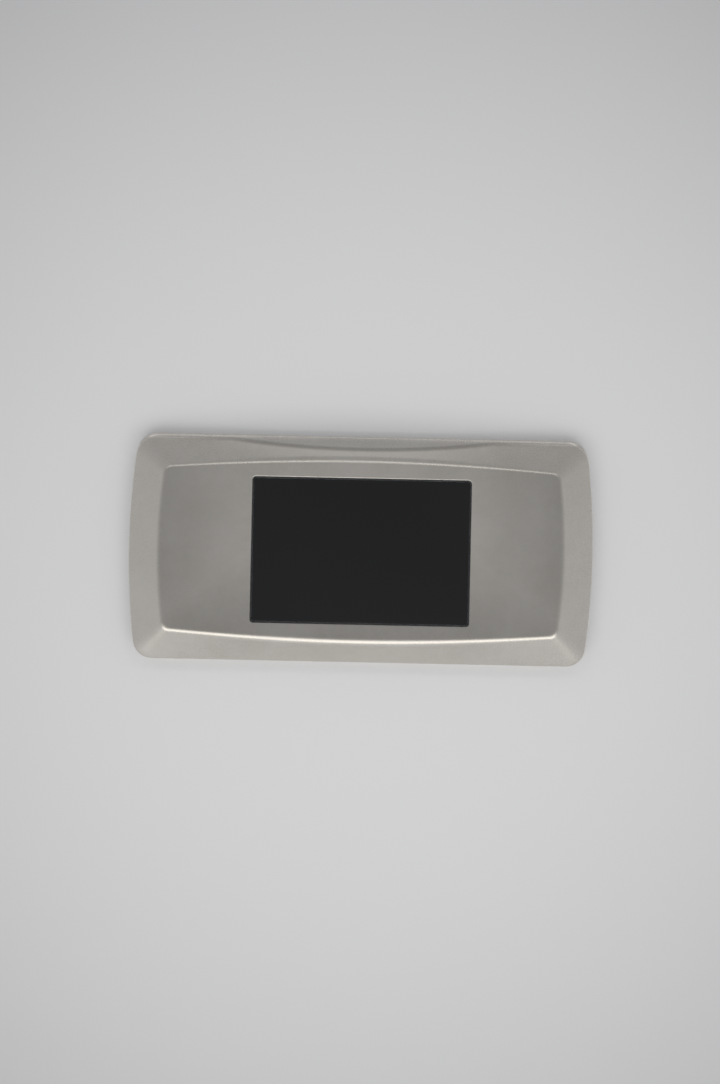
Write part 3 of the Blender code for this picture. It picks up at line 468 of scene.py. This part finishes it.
def turned(profile, centre=(0, 0, 0)):
    """Body of revolution about Z, from (radius, height) pairs that start and end on the axis."""
    bm = bmesh.new()
    rings = []
    for radius, height in profile:
        spokes = 1 if radius == 0.0 else TURNED_SIDES
        angles = [math.tau * k / TURNED_SIDES for k in range(spokes)]
        rings.append([bm.verts.new((radius * math.cos(a), radius * math.sin(a), height)) for a in angles])
    for low, high in zip(rings, rings[1:]):
        for k in range(TURNED_SIDES):
            following = (k + 1) % TURNED_SIDES
            corners = [low[k % len(low)], low[following % len(low)],
                       high[following % len(high)], high[k % len(high)]]
            bm.faces.new(list(dict.fromkeys(corners)))
    bmesh.ops.translate(bm, verts=bm.verts, vec=centre)
    return bm


def joined(parts):
    """One bmesh that holds several closed bodies."""
    whole = bmesh.new()
    for part in parts:
        mesh = bpy.data.meshes.new("part")
        part.to_mesh(mesh)
        part.free()
        whole.from_mesh(mesh)
        bpy.data.meshes.remove(mesh)
    return whole


def carve(bm, cutter):
    """Takes one closed bmesh away from another, exactly."""
    shapes = []
    for name, part in (("carved", bm), ("cutter", cutter)):
        bmesh.ops.recalc_face_normals(part, faces=part.faces)
        mesh = bpy.data.meshes.new(name)
        part.to_mesh(mesh)
        part.free()
        shape = bpy.data.objects.new(name, mesh)
        bpy.context.scene.collection.objects.link(shape)
        shapes.append(shape)
    modifier = shapes[0].modifiers.new("cut", "BOOLEAN")
    modifier.solver = "EXACT"
    modifier.object = shapes[1]
    evaluated = shapes[0].evaluated_get(bpy.context.evaluated_depsgraph_get())
    result = bmesh.new()
    result.from_mesh(evaluated.to_mesh())
    evaluated.to_mesh_clear()
    for shape in shapes:
        mesh = shape.data
        bpy.data.objects.remove(shape)
        bpy.data.meshes.remove(mesh)
    return result


def prism(radius, sides, z0, z1, centre=(0, 0)):
    turns = [math.tau * k / sides for k in range(sides)]
    ring = [Vector((centre[0] + radius * math.cos(a), centre[1] + radius * math.sin(a))) for a in turns]
    return loft([at_height(ring, z0), at_height(ring, z1)], "capped")


def four_corners(half_x, half_y, centre_y=0.0):
    return [(sx * half_x, sy * half_y + centre_y) for sy in (1, -1) for sx in (1, -1)]


def spaced(count, pitch):
    """Offsets of a row of equal steps about its middle."""
    return [(k - (count - 1) / 2) * pitch for k in range(count)]


# ---- The cover's wall -------------------------------------------------------------------------
def wall_section(run, reach):
    """Section of the cover's wall, whose slope suits a plan distance run from the flat to the foot.

    Two rounds are joined by the straight line that is tangent to both. Where the wall ends early, at
    a plan distance reach, the second round turns it down there. The answer is a function that gives,
    at a length s along the section, the plan distance, the drop below the plateau and the outward
    normal, then the length at which the line has reached a plan distance, then the stations.
    """
    fall = PLATEAU_Z - FOOT_BEND_Z
    a, b, c = run - FOOT_R, PLATEAU_EDGE_R - fall, PLATEAU_EDGE_R - FOOT_R
    slope = math.asin(c / math.hypot(a, b)) - math.atan2(b, a)
    start_out, start_drop = PLATEAU_EDGE_R * math.sin(slope), PLATEAU_EDGE_R * (1 - math.cos(slope))
    end_out = reach - FOOT_R * (1 - math.sin(slope))
    end_drop = start_drop + (end_out - start_out) * math.tan(slope)
    edge_length = PLATEAU_EDGE_R * slope
    line_end = edge_length + (end_out - start_out) / math.cos(slope)
    foot_end = line_end + FOOT_R * (math.pi / 2 - slope)

    def point(s):
        if s <= edge_length:
            turn = s / PLATEAU_EDGE_R
            out, drop = PLATEAU_EDGE_R * math.sin(turn), PLATEAU_EDGE_R * (1 - math.cos(turn))
        elif s <= line_end:
            turn = slope
            out = start_out + (s - edge_length) * math.cos(slope)
            drop = start_drop + (s - edge_length) * math.sin(slope)
        else:
            turn = min(slope + (s - line_end) / FOOT_R, math.pi / 2)
            out = end_out + FOOT_R * (math.sin(turn) - math.sin(slope))
            drop = end_drop + FOOT_R * (math.cos(slope) - math.cos(turn)) + max(0.0, s - foot_end)
        return out, drop, math.sin(turn), math.cos(turn)

    def length_at(out):
        return edge_length + (out - start_out) / math.cos(slope)

    stations = [edge_length * k / EDGE_STEPS for k in range(EDGE_STEPS + 1)]
    stations += [edge_length + (line_end - edge_length) * k / WALL_STEPS for k in range(1, WALL_STEPS + 1)]
    stations += [line_end + (foot_end - line_end) * k / FOOT_STEPS for k in range(1, FOOT_STEPS + 1)]
    stations += [foot_end + FOOT_BEND_Z - SKIRT_Z]
    return point, length_at, stations


def arch_edge(x):
    """Y of the finger arch's edge, seen from the front."""
    return COVER_TOP_EDGE - ARCH_DEPTH * (1 - (x / ARCH_HALF) ** 2)


class WallColumn:
    """One upright strip of the cover's wall, from the plateau's flat to the foot or to the arch."""

    def __init__(self, flat_point, foot_point):
        self.base = flat_point
        step = foot_point - flat_point
        self.direction = step.normalized()
        self.reach = step.length
        at_top = foot_point.y > COVER_TOP_EDGE - 0.01 * MM
        if at_top and abs(foot_point.x) < ARCH_HALF - 0.001 * MM:
            for _ in range(8):  # each round comes closer to where the strip meets the arch
                x = self.base.x + self.direction.x * self.reach
                self.reach = (arch_edge(x) - self.base.y) / self.direction.y
        self.point, self.length_at, self.stations = wall_section(step.length, self.reach)

    def at(self, s, depth):
        """Point at length s along the section, at a depth below the outer face."""
        out, drop, normal_out, normal_up = self.point(s)
        plan = self.base + self.direction * (out - depth * normal_out)
        return Vector((plan.x, plan.y, PLATEAU_Z - drop - depth * normal_up))


def wall_columns():
    flat = outline(FLAT_HALF_X, FLAT_HALF_Y, FLAT_BOW_X, FLAT_BOW_Y, FLAT_CORNER, (0, COVER_Y))
    foot = outline(WIDTH / 2, COVER_HEIGHT / 2, SIDE_BOW, STRAIGHT, OUTER_CORNER, (0, COVER_Y))
    return [WallColumn(a, b) for a, b in zip(flat, foot)]


def window_outline(grow=0.0):
    return outline(WINDOW_X / 2 + grow, WINDOW_Y / 2 + grow, corner=WINDOW_CORNER + grow,
                   centre=(0, COVER_Y))


def front_cover():
    """Pressed cover: plateau with the window, rounded edge, sloping wall, skirt and deburred rims."""
    columns = wall_columns()
    last = len(columns[0].stations) - 1
    outer = [[c.at(c.stations[k], 0.0) for c in columns] for k in range(last)]
    inner = [[c.at(c.stations[k], SHEET) for c in columns] for k in range(last)]
    foot_round = rounded(CUT_EDGE_R)
    rim = [[c.at(c.stations[-1] - drop, inset) for c in columns] for inset, drop in reversed(foot_round)]
    rim += [[c.at(c.stations[-1] - drop, SHEET - inset) for c in columns] for inset, drop in foot_round]
    window = [at_height(window_outline(CUT_EDGE_R), PLATEAU_Z - SHEET),
              at_height(window_outline(), PLATEAU_Z - SHEET + CUT_EDGE_R)]
    window += [at_height(window_outline(inset), PLATEAU_Z - drop) for inset, drop in rounded(WINDOW_EDGE_R)]
    window += [at_height(window_outline(2 * WINDOW_EDGE_R), PLATEAU_Z)]
    under = [at_height(window_outline(2 * WINDOW_EDGE_R), PLATEAU_Z - SHEET)]
    shell = loft(window + outer + rim + inner[::-1] + under)
    add_piece("cover_shell", shell, "cover_steel", ["front_cover"])


# ---- The tray ---------------------------------------------------------------------------------
def tray_outline(inset=0.0):
    return outline(WIDTH / 2 - inset, TRAY_HEIGHT / 2 - inset, SIDE_BOW - inset, STRAIGHT,
                   OUTER_CORNER - inset)


def hood_edge():
    """Inner edge of the tray's rim: a level flange, which rises along the top side as a hood."""
    edge = []
    flange = at_height(tray_outline(RIM_FLANGE), TRAY_RIM_Z)
    for k, (column, level) in enumerate(zip(wall_columns(), flange)):
        lap = column.length_at(column.reach - HOOD_LAP)
        raised = column.at(lap, SHEET + HOOD_GAP)
        from_side = min(k, 2 * QUARTER - k) - SIDE_STEPS
        share = min(1.0, max(0.0, from_side / CORNER_STEPS))
        edge.append(level.lerp(raised, share * share * (3 - 2 * share)))
    return edge


def rear_tray():
    """Folded tray: foot band, raised back plate with the port bay and holes, rim and hood."""
    hood = hood_edge()
    down = Vector((0, 0, -SHEET))
    inner_bend = TRAY_BEND_R + GAP
    raised = FOOT_BAND + PLATE_Z
    level = raised + SHEET
    nearly = 0.98  # of the radius that would take up the line's last stretch
    outer = fillet([(level, PLATE_Z), (raised, PLATE_Z), (FOOT_BAND, 0.0), (0.0, 0.0),
                    (0.0, TRAY_RIM_Z), (TRAY_BEND_R, TRAY_RIM_Z)],
                   [PLATE_BEND_R, PLATE_BEND_R + SHEET, TRAY_BEND_R, nearly * TRAY_BEND_R])
    inset = SHEET / 2
    inner = fillet([(level, PLATE_TOP_Z), (raised - inset, PLATE_TOP_Z),
                    (FOOT_BAND - inset, SHEET), (SHEET, SHEET), (SHEET, TRAY_RIM_Z - SHEET),
                    (inner_bend, TRAY_RIM_Z - SHEET)],
                   [PLATE_BEND_R + SHEET, PLATE_BEND_R, GAP, nearly * GAP])

    def bay(grow):
        return outline(BAY_X / 2 + grow, BAY_Y / 2 + grow, corner=BAY_CORNER + grow, centre=BAY_CENTRE)

    rings = [at_height(bay(0.0), PLATE_TOP_Z - CUT_EDGE_R), at_height(bay(0.0), PLATE_Z + CUT_EDGE_R),
             at_height(bay(CUT_EDGE_R), PLATE_Z), at_height(bay(2 * CUT_EDGE_R), PLATE_Z)]
    rings += [at_height(tray_outline(p.x), p.y) for p in outer]
    rings += [hood, [p + down for p in hood]]
    rings += [at_height(tray_outline(p.x), p.y) for p in inner[::-1]]
    rings += [at_height(bay(2 * CUT_EDGE_R), PLATE_TOP_Z), at_height(bay(CUT_EDGE_R), PLATE_TOP_Z)]
    half = BRACKET_PITCH / 2
    spots = [(BRACKET_HOLE_R, place) for place in four_corners(half, half, BRACKET_Y)]
    spots += [(FIXING_HOLE_R, place) for place in four_corners(FIXING_X, FIXING_Y)]
    holes = [prism(radius, HOLE_SIDES, 0.0, 2 * PLATE_TOP_Z, place) for radius, place in spots]
    add_piece("tray_shell", carve(loft(rings), joined(holes)), "tray_steel", ["rear_tray"])


# ---- Window and seals -------------------------------------------------------------------------
def window():
    """Touch glass with ground edges, and the rubber seal crowned between it and the steel."""
    edge = 0.25 * MM
    rings = [at_height(window_outline(-WINDOW_JOINT - edge), glass_low.z),
             at_height(window_outline(-WINDOW_JOINT), glass_low.z + edge)]
    rings += [at_height(window_outline(-WINDOW_JOINT - inset), glass_high.z - drop)
              for inset, drop in rounded(edge)]
    add_piece("glass_plate", loft(rings, "capped"), "black_glass", ["touch_glass"])
    width = WINDOW_JOINT - 2 * GAP
    sink = 0.25 * MM
    crown = []
    for k in range(ROUND_STEPS + 1):
        turn = math.pi * k / ROUND_STEPS
        crown.append((GAP + width / 2 * (1 - math.cos(turn)), seal_high.z - sink * (1 - math.sin(turn))))
    section = [(GAP, seal_low.z)] + crown + [(GAP + width, seal_low.z)]
    add_piece("seal_ring", loft([at_height(window_outline(-inset), z) for inset, z in section]),
              "seal_rubber", ["window_seal"])


def edge_seal():
    """Rubber strip in the joint between the cover's skirt and the tray's rim, on three sides."""
    low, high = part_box("edge_seal")
    outset, inset = 0.7 * MM, 3.0 * MM
    bulge, bulge_steps = (high.z - low.z) / 2, 6
    section = [(inset, low.z)]
    for k in range(bulge_steps + 1):
        turn = math.pi * (k / bulge_steps - 0.5)
        section.append((outset + bulge * (1 - math.cos(turn)), low.z + bulge * (1 + math.sin(turn))))
    section.append((inset, high.z))
    rings = [at_height(tray_outline(i), z) for i, z in section]
    count = 4 * QUARTER
    path = [k % count for k in range(2 * QUARTER - SIDE_STEPS, count + SIDE_STEPS + 1)]
    strip = [[ring[k] for ring in rings] for k in path]
    add_piece("seal_strip", loft(strip, "capped"), "seal_rubber", ["edge_seal"])


# ---- Screws -----------------------------------------------------------------------------------
def pan_screws(node, slot, head_r, head_h, shank_r, length, head_up):
    """Pan-head screws with a domed head and a hexagon socket, one for each CAD screw of that name."""
    crown, side = 0.5, 0.3  # shares of the radius and the height at which the dome ends and starts
    tip_r, tip_h = 0.75 * shank_r, 0.4 * shank_r
    dome = [(head_r * (1 - (1 - crown) * (1 - math.cos(a))), head_h * (side + (1 - side) * math.sin(a)))
            for a in quarter_turns(ROUND_STEPS)]
    profile = [(0.0, -length), (tip_r, -length), (shank_r, tip_h - length), (shank_r, 0.0),
               (head_r, 0.0), (head_r, 0.2 * head_h)] + dome + [(0.0, head_h)]
    socket_r, socket_floor = 0.5 * head_r, 0.35 * head_h
    bm = carve(turned(profile), prism(socket_r, 6, socket_floor, 1.5 * head_h))
    if not head_up:
        bmesh.ops.rotate(bm, verts=bm.verts, cent=(0, 0, 0), matrix=Matrix.Rotation(math.pi, 3, "X"))
    mesh = to_mesh(node + "_fine", bm, FINISH[slot], sharp=40)
    for number in range(1, 5):
        name = f"{node}_{number}"
        low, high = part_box(name)
        middle = (low + high) / 2
        z = high.z - head_h if head_up else low.z + head_h
        place_piece(name + "_fine", mesh, [name], location=(middle.x, middle.y, z))


# ---- Ports ------------------------------------------------------------------------------------
def port_block(node, mouth, depth):
    """Port body with a rounded outline and a mouth in its lower face; gives the bmesh and its box."""
    low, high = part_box(node)
    middle = (low + high) / 2
    body = block(high - low, middle, edge=0.3 * MM)
    hollow = block((*mouth, 2 * depth), (middle.x, middle.y, low.z), edge=0.15 * MM, segments=2)
    return carve(body, hollow), low, middle, high


def pin_row(count, pitch, size, middle, z0, z1):
    """Square pins in a row along X."""
    return [block((size, size, z1 - z0), (middle.x + x, middle.y, (z0 + z1) / 2), edge=0.2 * size, segments=2)
            for x in spaced(count, pitch)]


def power_header():
    """Three-pin power header, with a coding groove beside each pin."""
    depth, pitch = 8.0 * MM, 5.08 * MM
    body, low, middle, _ = port_block("power_inlet", (17.2 * MM, 8.6 * MM), depth)
    groove, groove_y, groove_z = (0.9 * MM, 1.2 * MM, 7.0 * MM), low.y + 1.1 * MM, low.z + 3.6 * MM
    grooves = joined([block(groove, (middle.x + x, groove_y, groove_z)) for x in spaced(3, pitch)])
    add_piece("power_header", carve(body, grooves), "green_plastic", ["power_inlet"])
    pins = pin_row(3, pitch, 1.1 * MM, middle, low.z + 1.2 * MM, low.z + depth + 0.5 * MM)
    add_piece("power_pins", joined(pins), "zinc_fastener", material=TIN)


def ethernet_jack():
    """Shielded jack with a latch notch, vents near its root and eight gold contacts."""
    body, low, middle, high = port_block("ethernet_jack", (11.8 * MM, 8.6 * MM), 9.5 * MM)
    latch_y = middle.y - 4.6 * MM
    latch = block((6.0 * MM, 3.0 * MM, 15.0 * MM), (middle.x, latch_y, low.z), edge=0.15 * MM, segments=2)
    vent, vent_y, vent_z = (16.5 * MM, 2.6 * MM, 0.5 * MM), 4.0 * MM, high.z - 3.0 * MM
    vents = joined([block(vent, (middle.x, middle.y + y, vent_z)) for y in (-vent_y, vent_y)])
    add_piece("ethernet_shell", carve(carve(body, latch), vents), "port_shell", ["ethernet_jack"])
    contact, contact_y, contact_z = (0.4 * MM, 0.3 * MM, 7.5 * MM), middle.y + 3.4 * MM, low.z + 5.2 * MM
    contacts = [block(contact, (middle.x + x, contact_y, contact_z), edge=0.08 * MM, segments=2)
                for x in spaced(8, 1.02 * MM)]
    add_piece("ethernet_contacts", joined(contacts), "port_shell", material=GOLD)


def usb_port():
    """Shielded port with a white tongue that carries four gold contacts."""
    shell, low, middle, _ = port_block("usb_port", (12.5 * MM, 5.2 * MM), 9.5 * MM)
    add_piece("usb_shell", shell, "port_shell", ["usb_port"])
    tongue_size, tongue_y, tongue_z = (11.0 * MM, 1.7 * MM, 8.6 * MM), middle.y + 1.2 * MM, low.z + 5.4 * MM
    add_piece("usb_tongue", block(tongue_size, (middle.x, tongue_y, tongue_z)), "white_plastic")
    strip, strip_y, strip_z = (1.0 * MM, 0.15 * MM, 6.5 * MM), middle.y + 0.32 * MM, low.z + 5.2 * MM
    strips = [block(strip, (middle.x + x, strip_y, strip_z), edge=0.04 * MM, segments=2)
              for x in spaced(4, 2.3 * MM)]
    add_piece("usb_contacts", joined(strips), "port_shell", material=GOLD)


def serial_header():
    """Black box header with two rows of four gold pins."""
    body, low, middle, _ = port_block("serial_port", (12.2 * MM, 7.6 * MM), 7.0 * MM)
    add_piece("serial_header", body, "black_plastic", ["serial_port"])
    pitch, pins = 2.54 * MM, []
    for y in spaced(2, pitch):
        row = Vector((middle.x, middle.y + y, 0.0))
        pins += pin_row(4, pitch, 0.64 * MM, row, low.z + 1.0 * MM, low.z + 7.4 * MM)
    add_piece("serial_pins", joined(pins), "port_shell", material=GOLD)


# ---- Memory card ------------------------------------------------------------------------------
card_low, card_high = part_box("memory_card")
CARD_SIZE, CARD_CENTRE = card_high - card_low, (card_low + card_high) / 2


def card_socket():
    """Stamped socket for the card, with two spring windows."""
    low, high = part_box("card_socket")
    middle, size = (low + high) / 2, high - low
    wall = 0.6 * MM
    slot_size = (CARD_SIZE.x + 2 * GAP, size.y, CARD_SIZE.z + 2 * GAP)
    slot = block(slot_size, (middle.x, middle.y - wall, middle.z), edge=0.1 * MM, segments=2)
    spring, spring_x, spring_y = (1.6 * MM, 9.0 * MM, 1.6 * wall), 8.0 * MM, middle.y + 2.0 * MM
    springs = joined([block(spring, (middle.x + x, spring_y, low.z)) for x in (-spring_x, spring_x)])
    shell = carve(carve(block(size, middle, edge=0.15 * MM), slot), springs)
    add_piece("card_socket_shell", shell, "port_shell", ["card_socket"])


def memory_card():
    """Card with a clipped corner, three grip grooves and eight recessed gold pads."""
    clipped = 4.0 * MM
    half_x, half_y = CARD_SIZE.x / 2, CARD_SIZE.y / 2
    corners = [(-half_x, -half_y), (half_x, -half_y), (half_x, half_y - clipped), (half_x - clipped, half_y),
               (-half_x, half_y)]
    ring = [Vector((CARD_CENTRE.x + x, CARD_CENTRE.y + y)) for x, y in corners]
    body = loft([at_height(ring, card_low.z), at_height(ring, card_high.z)], "capped")
    ease(body, 0.25 * MM)
    groove, first_y, pitch_y = (16.0 * MM, 0.7 * MM, 0.5 * MM), card_low.y + 2.0 * MM, 1.4 * MM
    grooves = [block(groove, (CARD_CENTRE.x, first_y + pitch_y * k, card_low.z), edge=0.15 * MM, segments=2)
               for k in range(3)]
    pad, leaf = (1.5 * MM, 4.0 * MM, 0.3 * MM), (1.3 * MM, 3.7 * MM, 0.08 * MM)
    pad_xs = [CARD_CENTRE.x - 1.2 * MM + x for x in spaced(8, 2.5 * MM)]
    pad_y = card_high.y - 3.2 * MM
    pads = [block(pad, (x, pad_y, card_high.z), edge=0.05 * MM, segments=2) for x in pad_xs]
    body = carve(carve(body, joined(grooves)), joined(pads))
    add_piece("memory_card_body", body, "black_plastic", ["memory_card"], "memory_card")
    leaf_z = card_high.z - 0.09 * MM
    leaves = [block(leaf, (x, pad_y, leaf_z), edge=0.02 * MM, segments=1) for x in pad_xs]
    add_piece("memory_card_contacts", joined(leaves), "port_shell", body="memory_card", material=GOLD)


# ---- Switches ---------------------------------------------------------------------------------
def reset_switch():
    """Push switch with a round well, and its button with a domed tip."""
    low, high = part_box("reset_switch")
    middle = (low + high) / 2
    button_low, button_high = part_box("reset_button")
    radius, length = (button_high.x - button_low.x) / 2, button_high.z - button_low.z
    well_r, well_low, well_high = radius + 0.4 * MM, -1.0 * MM, 2.4 * MM
    well = turned([(0.0, well_low), (well_r, well_low), (well_r, well_high), (0.0, well_high)],
                  (middle.x, middle.y, low.z))
    body = carve(block(high - low, middle, edge=0.25 * MM), well)
    add_piece("reset_switch_body", body, "black_plastic", ["reset_switch"])
    tip = 0.25 * radius
    dome = [(radius * math.cos(a), tip * (1 - math.sin(a))) for a in quarter_turns(6)[:-1]]
    profile = [(0.0, length), (radius, length), (radius, tip)] + dome + [(0.0, 0.0)]
    button = turned(profile[::-1], (middle.x, middle.y, button_low.z))
    add_piece("reset_button_cap", button, "white_plastic", ["reset_button"], "reset_button")


def mode_switch():
    """Two-way slide switch with a slot for each lever's travel."""
    low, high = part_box("mode_switch")
    travel, slot_depth = 1.5 * MM, 2.8 * MM
    slots = []
    for number in (1, 2):
        lever = f"mode_lever_{number}"
        lever_low, lever_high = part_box(lever)
        size, centre = lever_high - lever_low, (lever_low + lever_high) / 2
        slots.append(block((size.x + 2 * GAP, size.y + travel + 2 * GAP, slot_depth),
                           (centre.x, centre.y + travel / 2, low.z), edge=0.1 * MM, segments=2))
        add_piece(lever + "_cap", block(size, centre), "white_plastic", [lever], lever)
    body = block(high - low, (low + high) / 2, edge=0.25 * MM)
    add_piece("mode_switch_body", carve(body, joined(slots)), "black_plastic", ["mode_switch"])


# ---- Small parts on the board's underside -----------------------------------------------------
CHIP_ROWS = (  # place of the first chip, step to the next one, count, whether they lie along Y
    ((-34.0 * MM, -42.5 * MM), (2.6 * MM, 0.0), 9, False),
    ((-8.5 * MM, -60.0 * MM), (0.0, -2.2 * MM), 3, True),
    ((47.0 * MM, -62.0 * MM), (0.0, 2.4 * MM), 5, True),
    ((19.5 * MM, -62.5 * MM), (2.8 * MM, 0.0), 8, False),
)
DRIVER_PLACES = ((2.0 * MM, -40.0 * MM), (10.5 * MM, -40.0 * MM))


def chip_part(x, y, face, along_y):
    """Body and two soldered end caps of a chip resistor or capacitor."""
    long, wide, high = 1.6 * MM, 0.8 * MM, 0.5 * MM

    def laid(run, across, up):
        return (across, run, up) if along_y else (run, across, up)

    centre = Vector((x, y, face - high / 2))
    body = block(laid(long, wide, high), centre, edge=0.06 * MM, segments=1)
    cap, cap_out = laid(0.24 * long, 1.06 * wide, 1.08 * high), 0.4 * long
    caps = [block(cap, centre + Vector(laid(side * cap_out, 0, 0)), edge=0.05 * MM, segments=1)
            for side in (-1, 1)]
    return body, caps


def driver_part(x, y, face):
    """Body and eight legs of a driver chip."""
    body = block((5.0 * MM, 4.0 * MM, 1.4 * MM), (x, y, face - 0.9 * MM), edge=0.15 * MM, segments=2)
    leg, leg_out, leg_z = (0.42 * MM, 1.2 * MM, 0.2 * MM), 2.4 * MM, face - 0.12 * MM
    legs = [block(leg, (x + step, y + side * leg_out, leg_z), edge=0.05 * MM, segments=1)
            for step in spaced(4, 1.27 * MM) for side in (-1, 1)]
    return body, legs


def board_parts():
    """Chip resistors, capacitors and drivers soldered beside the ports, where the bay shows them."""
    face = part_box("controller_board")[0].z
    parts = [chip_part(x + k * step_x, y + k * step_y, face, along_y)
             for (x, y), (step_x, step_y), count, along_y in CHIP_ROWS for k in range(count)]
    parts += [driver_part(x, y, face) for x, y in DRIVER_PLACES]
    add_piece("chip_bodies", joined([body for body, _ in parts]), "black_plastic")
    ends = [end for _, metal in parts for end in metal]
    add_piece("chip_terminals", joined(ends), "zinc_fastener", material=TIN)


# ---- CAD pieces that keep their shape ---------------------------------------------------------
KEPT = {
    "adhesive": ["carrier_tape"],
    "display_glass": ["touch_sensor", "lcd_cell"],
    "galvanised": ["display_carrier", "lcd_bezel", "left_bracket", "right_bracket"],
    "white_film": ["diffuser_sheet"],
    "acrylic": ["light_guide"],
    "white_plastic": ["led_bar", "film_connector"],
    "aluminium": ["backlight_tray", "heat_block"],
    "black_plastic": ["processor", "buzzer", "battery_holder"],
    "board": ["controller_board"],
    "flex_film": ["display_film"],
    "battery_steel": ["clock_battery"],
    "zinc_fastener": [f"{name}_{k}" for name in ("weld_stud", "stud_nut", "cover_pillar", "board_standoff")
                      for k in range(1, 5)],
}


def dress_kept_nodes():
    """Gives the CAD pieces that stay visible the finish of their slot."""
    for slot, names in KEPT.items():
        for name in names:
            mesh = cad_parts[name].data
            mesh.materials.clear()
            mesh.materials.append(FINISH[slot])


# ---- Stage, light and camera ------------------------------------------------------------------
# painted pool of light: the table is pale near the middle and painted darker further out
TABLE_PALE, TABLE_PAINTED_DIM = (0.87, 0.87, 0.875), (0.52, 0.52, 0.525)
TABLE_POOL_MIDDLE = (0.01, 0.0, 0.0)
TABLE_POOL_R, TABLE_PAINTED_DIM_R, TABLE_POOL_FALL = 0.12, 0.60, 1.6
TABLE_HALF = 12.0
TABLE_Z = -0.2 * MM


def stage():
    """Pale matt table with a painted pool of light: darker away from the middle."""
    table = Surface("table_finish", TABLE_PALE, 0.65)
    distance = table.nodes.new("ShaderNodeVectorMath")
    distance.operation = "DISTANCE"
    distance.inputs[1].default_value = TABLE_POOL_MIDDLE
    table.links.new(table.place, distance.inputs[0])
    # painted light falloff: the table's colour darkens with distance from the middle
    painted_falloff = table.spread(distance.outputs["Value"], 0.0, 1.0, TABLE_POOL_R, TABLE_PAINTED_DIM_R)
    painted_falloff = table.math("POWER", painted_falloff, TABLE_POOL_FALL)
    table.drive("Base Color", table.mix(painted_falloff, TABLE_PALE, TABLE_PAINTED_DIM))
    table.drive("Roughness", table.spread(table.noise(30, detail=3), 0.60, 0.70))
    bm = bmesh.new()
    bmesh.ops.create_grid(bm, x_segments=1, y_segments=1, size=TABLE_HALF)
    mesh = bpy.data.meshes.new("table")
    bm.to_mesh(mesh)
    bm.free()
    mesh.materials.append(table.material)
    floor = bpy.data.objects.new("table", mesh)
    floor.location.z = TABLE_Z
    bpy.context.scene.collection.objects.link(floor)


def area_light(name, place, size, energy, colour):
    """Soft panel light that faces the middle of the table."""
    data = bpy.data.lights.new(name, "AREA")
    data.shape = "RECTANGLE"
    data.size, data.size_y = size
    data.energy = energy
    data.color = colour
    light = bpy.data.objects.new(name, data)
    light.location = place
    light.rotation_euler = (-Vector(place)).to_track_quat("-Z", "Y").to_euler()
    light.visible_camera = False
    bpy.context.scene.collection.objects.link(light)


ROOM_COLOUR = (0.97, 0.98, 1.0)
ROOM_LEVEL, ROOM_BRIGHTER = 0.62, (0.0, -0.15, -0.19)  # mean level, and where and how much it rises


def lighting():
    """One large softbox from the panel's lower side, a slim one behind, and a pale room."""
    area_light("softbox", (0.0, -1.95, 2.15), (4.8, 1.4), energy=33, colour=(1.0, 0.985, 0.95))
    area_light("back_strip", (0.0, 1.7, 2.25), (3.5, 0.5), energy=5.5, colour=(1.0, 0.99, 0.97))
    world = bpy.data.worlds.new("studio")
    world.use_nodes = True
    nodes, links = world.node_tree.nodes, world.node_tree.links
    background = nodes["Background"]
    background.inputs["Color"].default_value = (*ROOM_COLOUR, 1.0)
    direction = nodes.new("ShaderNodeTexCoord").outputs["Generated"]
    toward = nodes.new("ShaderNodeVectorMath")
    toward.operation = "DOT_PRODUCT"
    toward.inputs[1].default_value = ROOM_BRIGHTER
    level = nodes.new("ShaderNodeMath")
    level.operation = "ADD"
    level.inputs[1].default_value = ROOM_LEVEL
    links.new(direction, toward.inputs[0])
    links.new(toward.outputs["Value"], level.inputs[0])
    links.new(level.outputs[0], background.inputs["Strength"])
    bpy.context.scene.world = world
    bpy.context.scene.view_settings.view_transform = "Standard"


CAMERA_HEIGHT = 1.137           # above the widest outline of the cover
CAMERA_X = -0.7 * MM
CAMERA_ABOVE_WINDOW = 7.1 * MM  # the view's centre is this far above the window's centre
CAMERA_ROLL = math.radians(1.2)


def camera():
    """Looks straight down at the window, slightly turned and off its centre."""
    data = bpy.data.cameras.new("camera")
    data.lens, data.sensor_width = 50.0, 36.0
    data.clip_end = 20.0
    view = bpy.data.objects.new("camera", data)
    view.location = (CAMERA_X, COVER_Y + CAMERA_ABOVE_WINDOW, FOOT_BEND_Z + CAMERA_HEIGHT)
    view.rotation_euler = (0.0, 0.0, CAMERA_ROLL)
    bpy.context.scene.collection.objects.link(view)
    bpy.context.scene.camera = view


camera()
stage()
lighting()
front_cover()
rear_tray()
window()
edge_seal()
pan_screws("case_screw", "zinc_fastener", head_r=3.8 * MM, head_h=1.7 * MM, shank_r=2.0 * MM,
           length=9.5 * MM, head_up=False)
pan_screws("board_screw", "zinc_fastener", head_r=2.7 * MM, head_h=1.5 * MM, shank_r=1.4 * MM,
           length=7.0 * MM, head_up=True)
power_header()
ethernet_jack()
usb_port()
serial_header()
card_socket()
memory_card()
reset_switch()
mode_switch()
board_parts()
dress_kept_nodes()
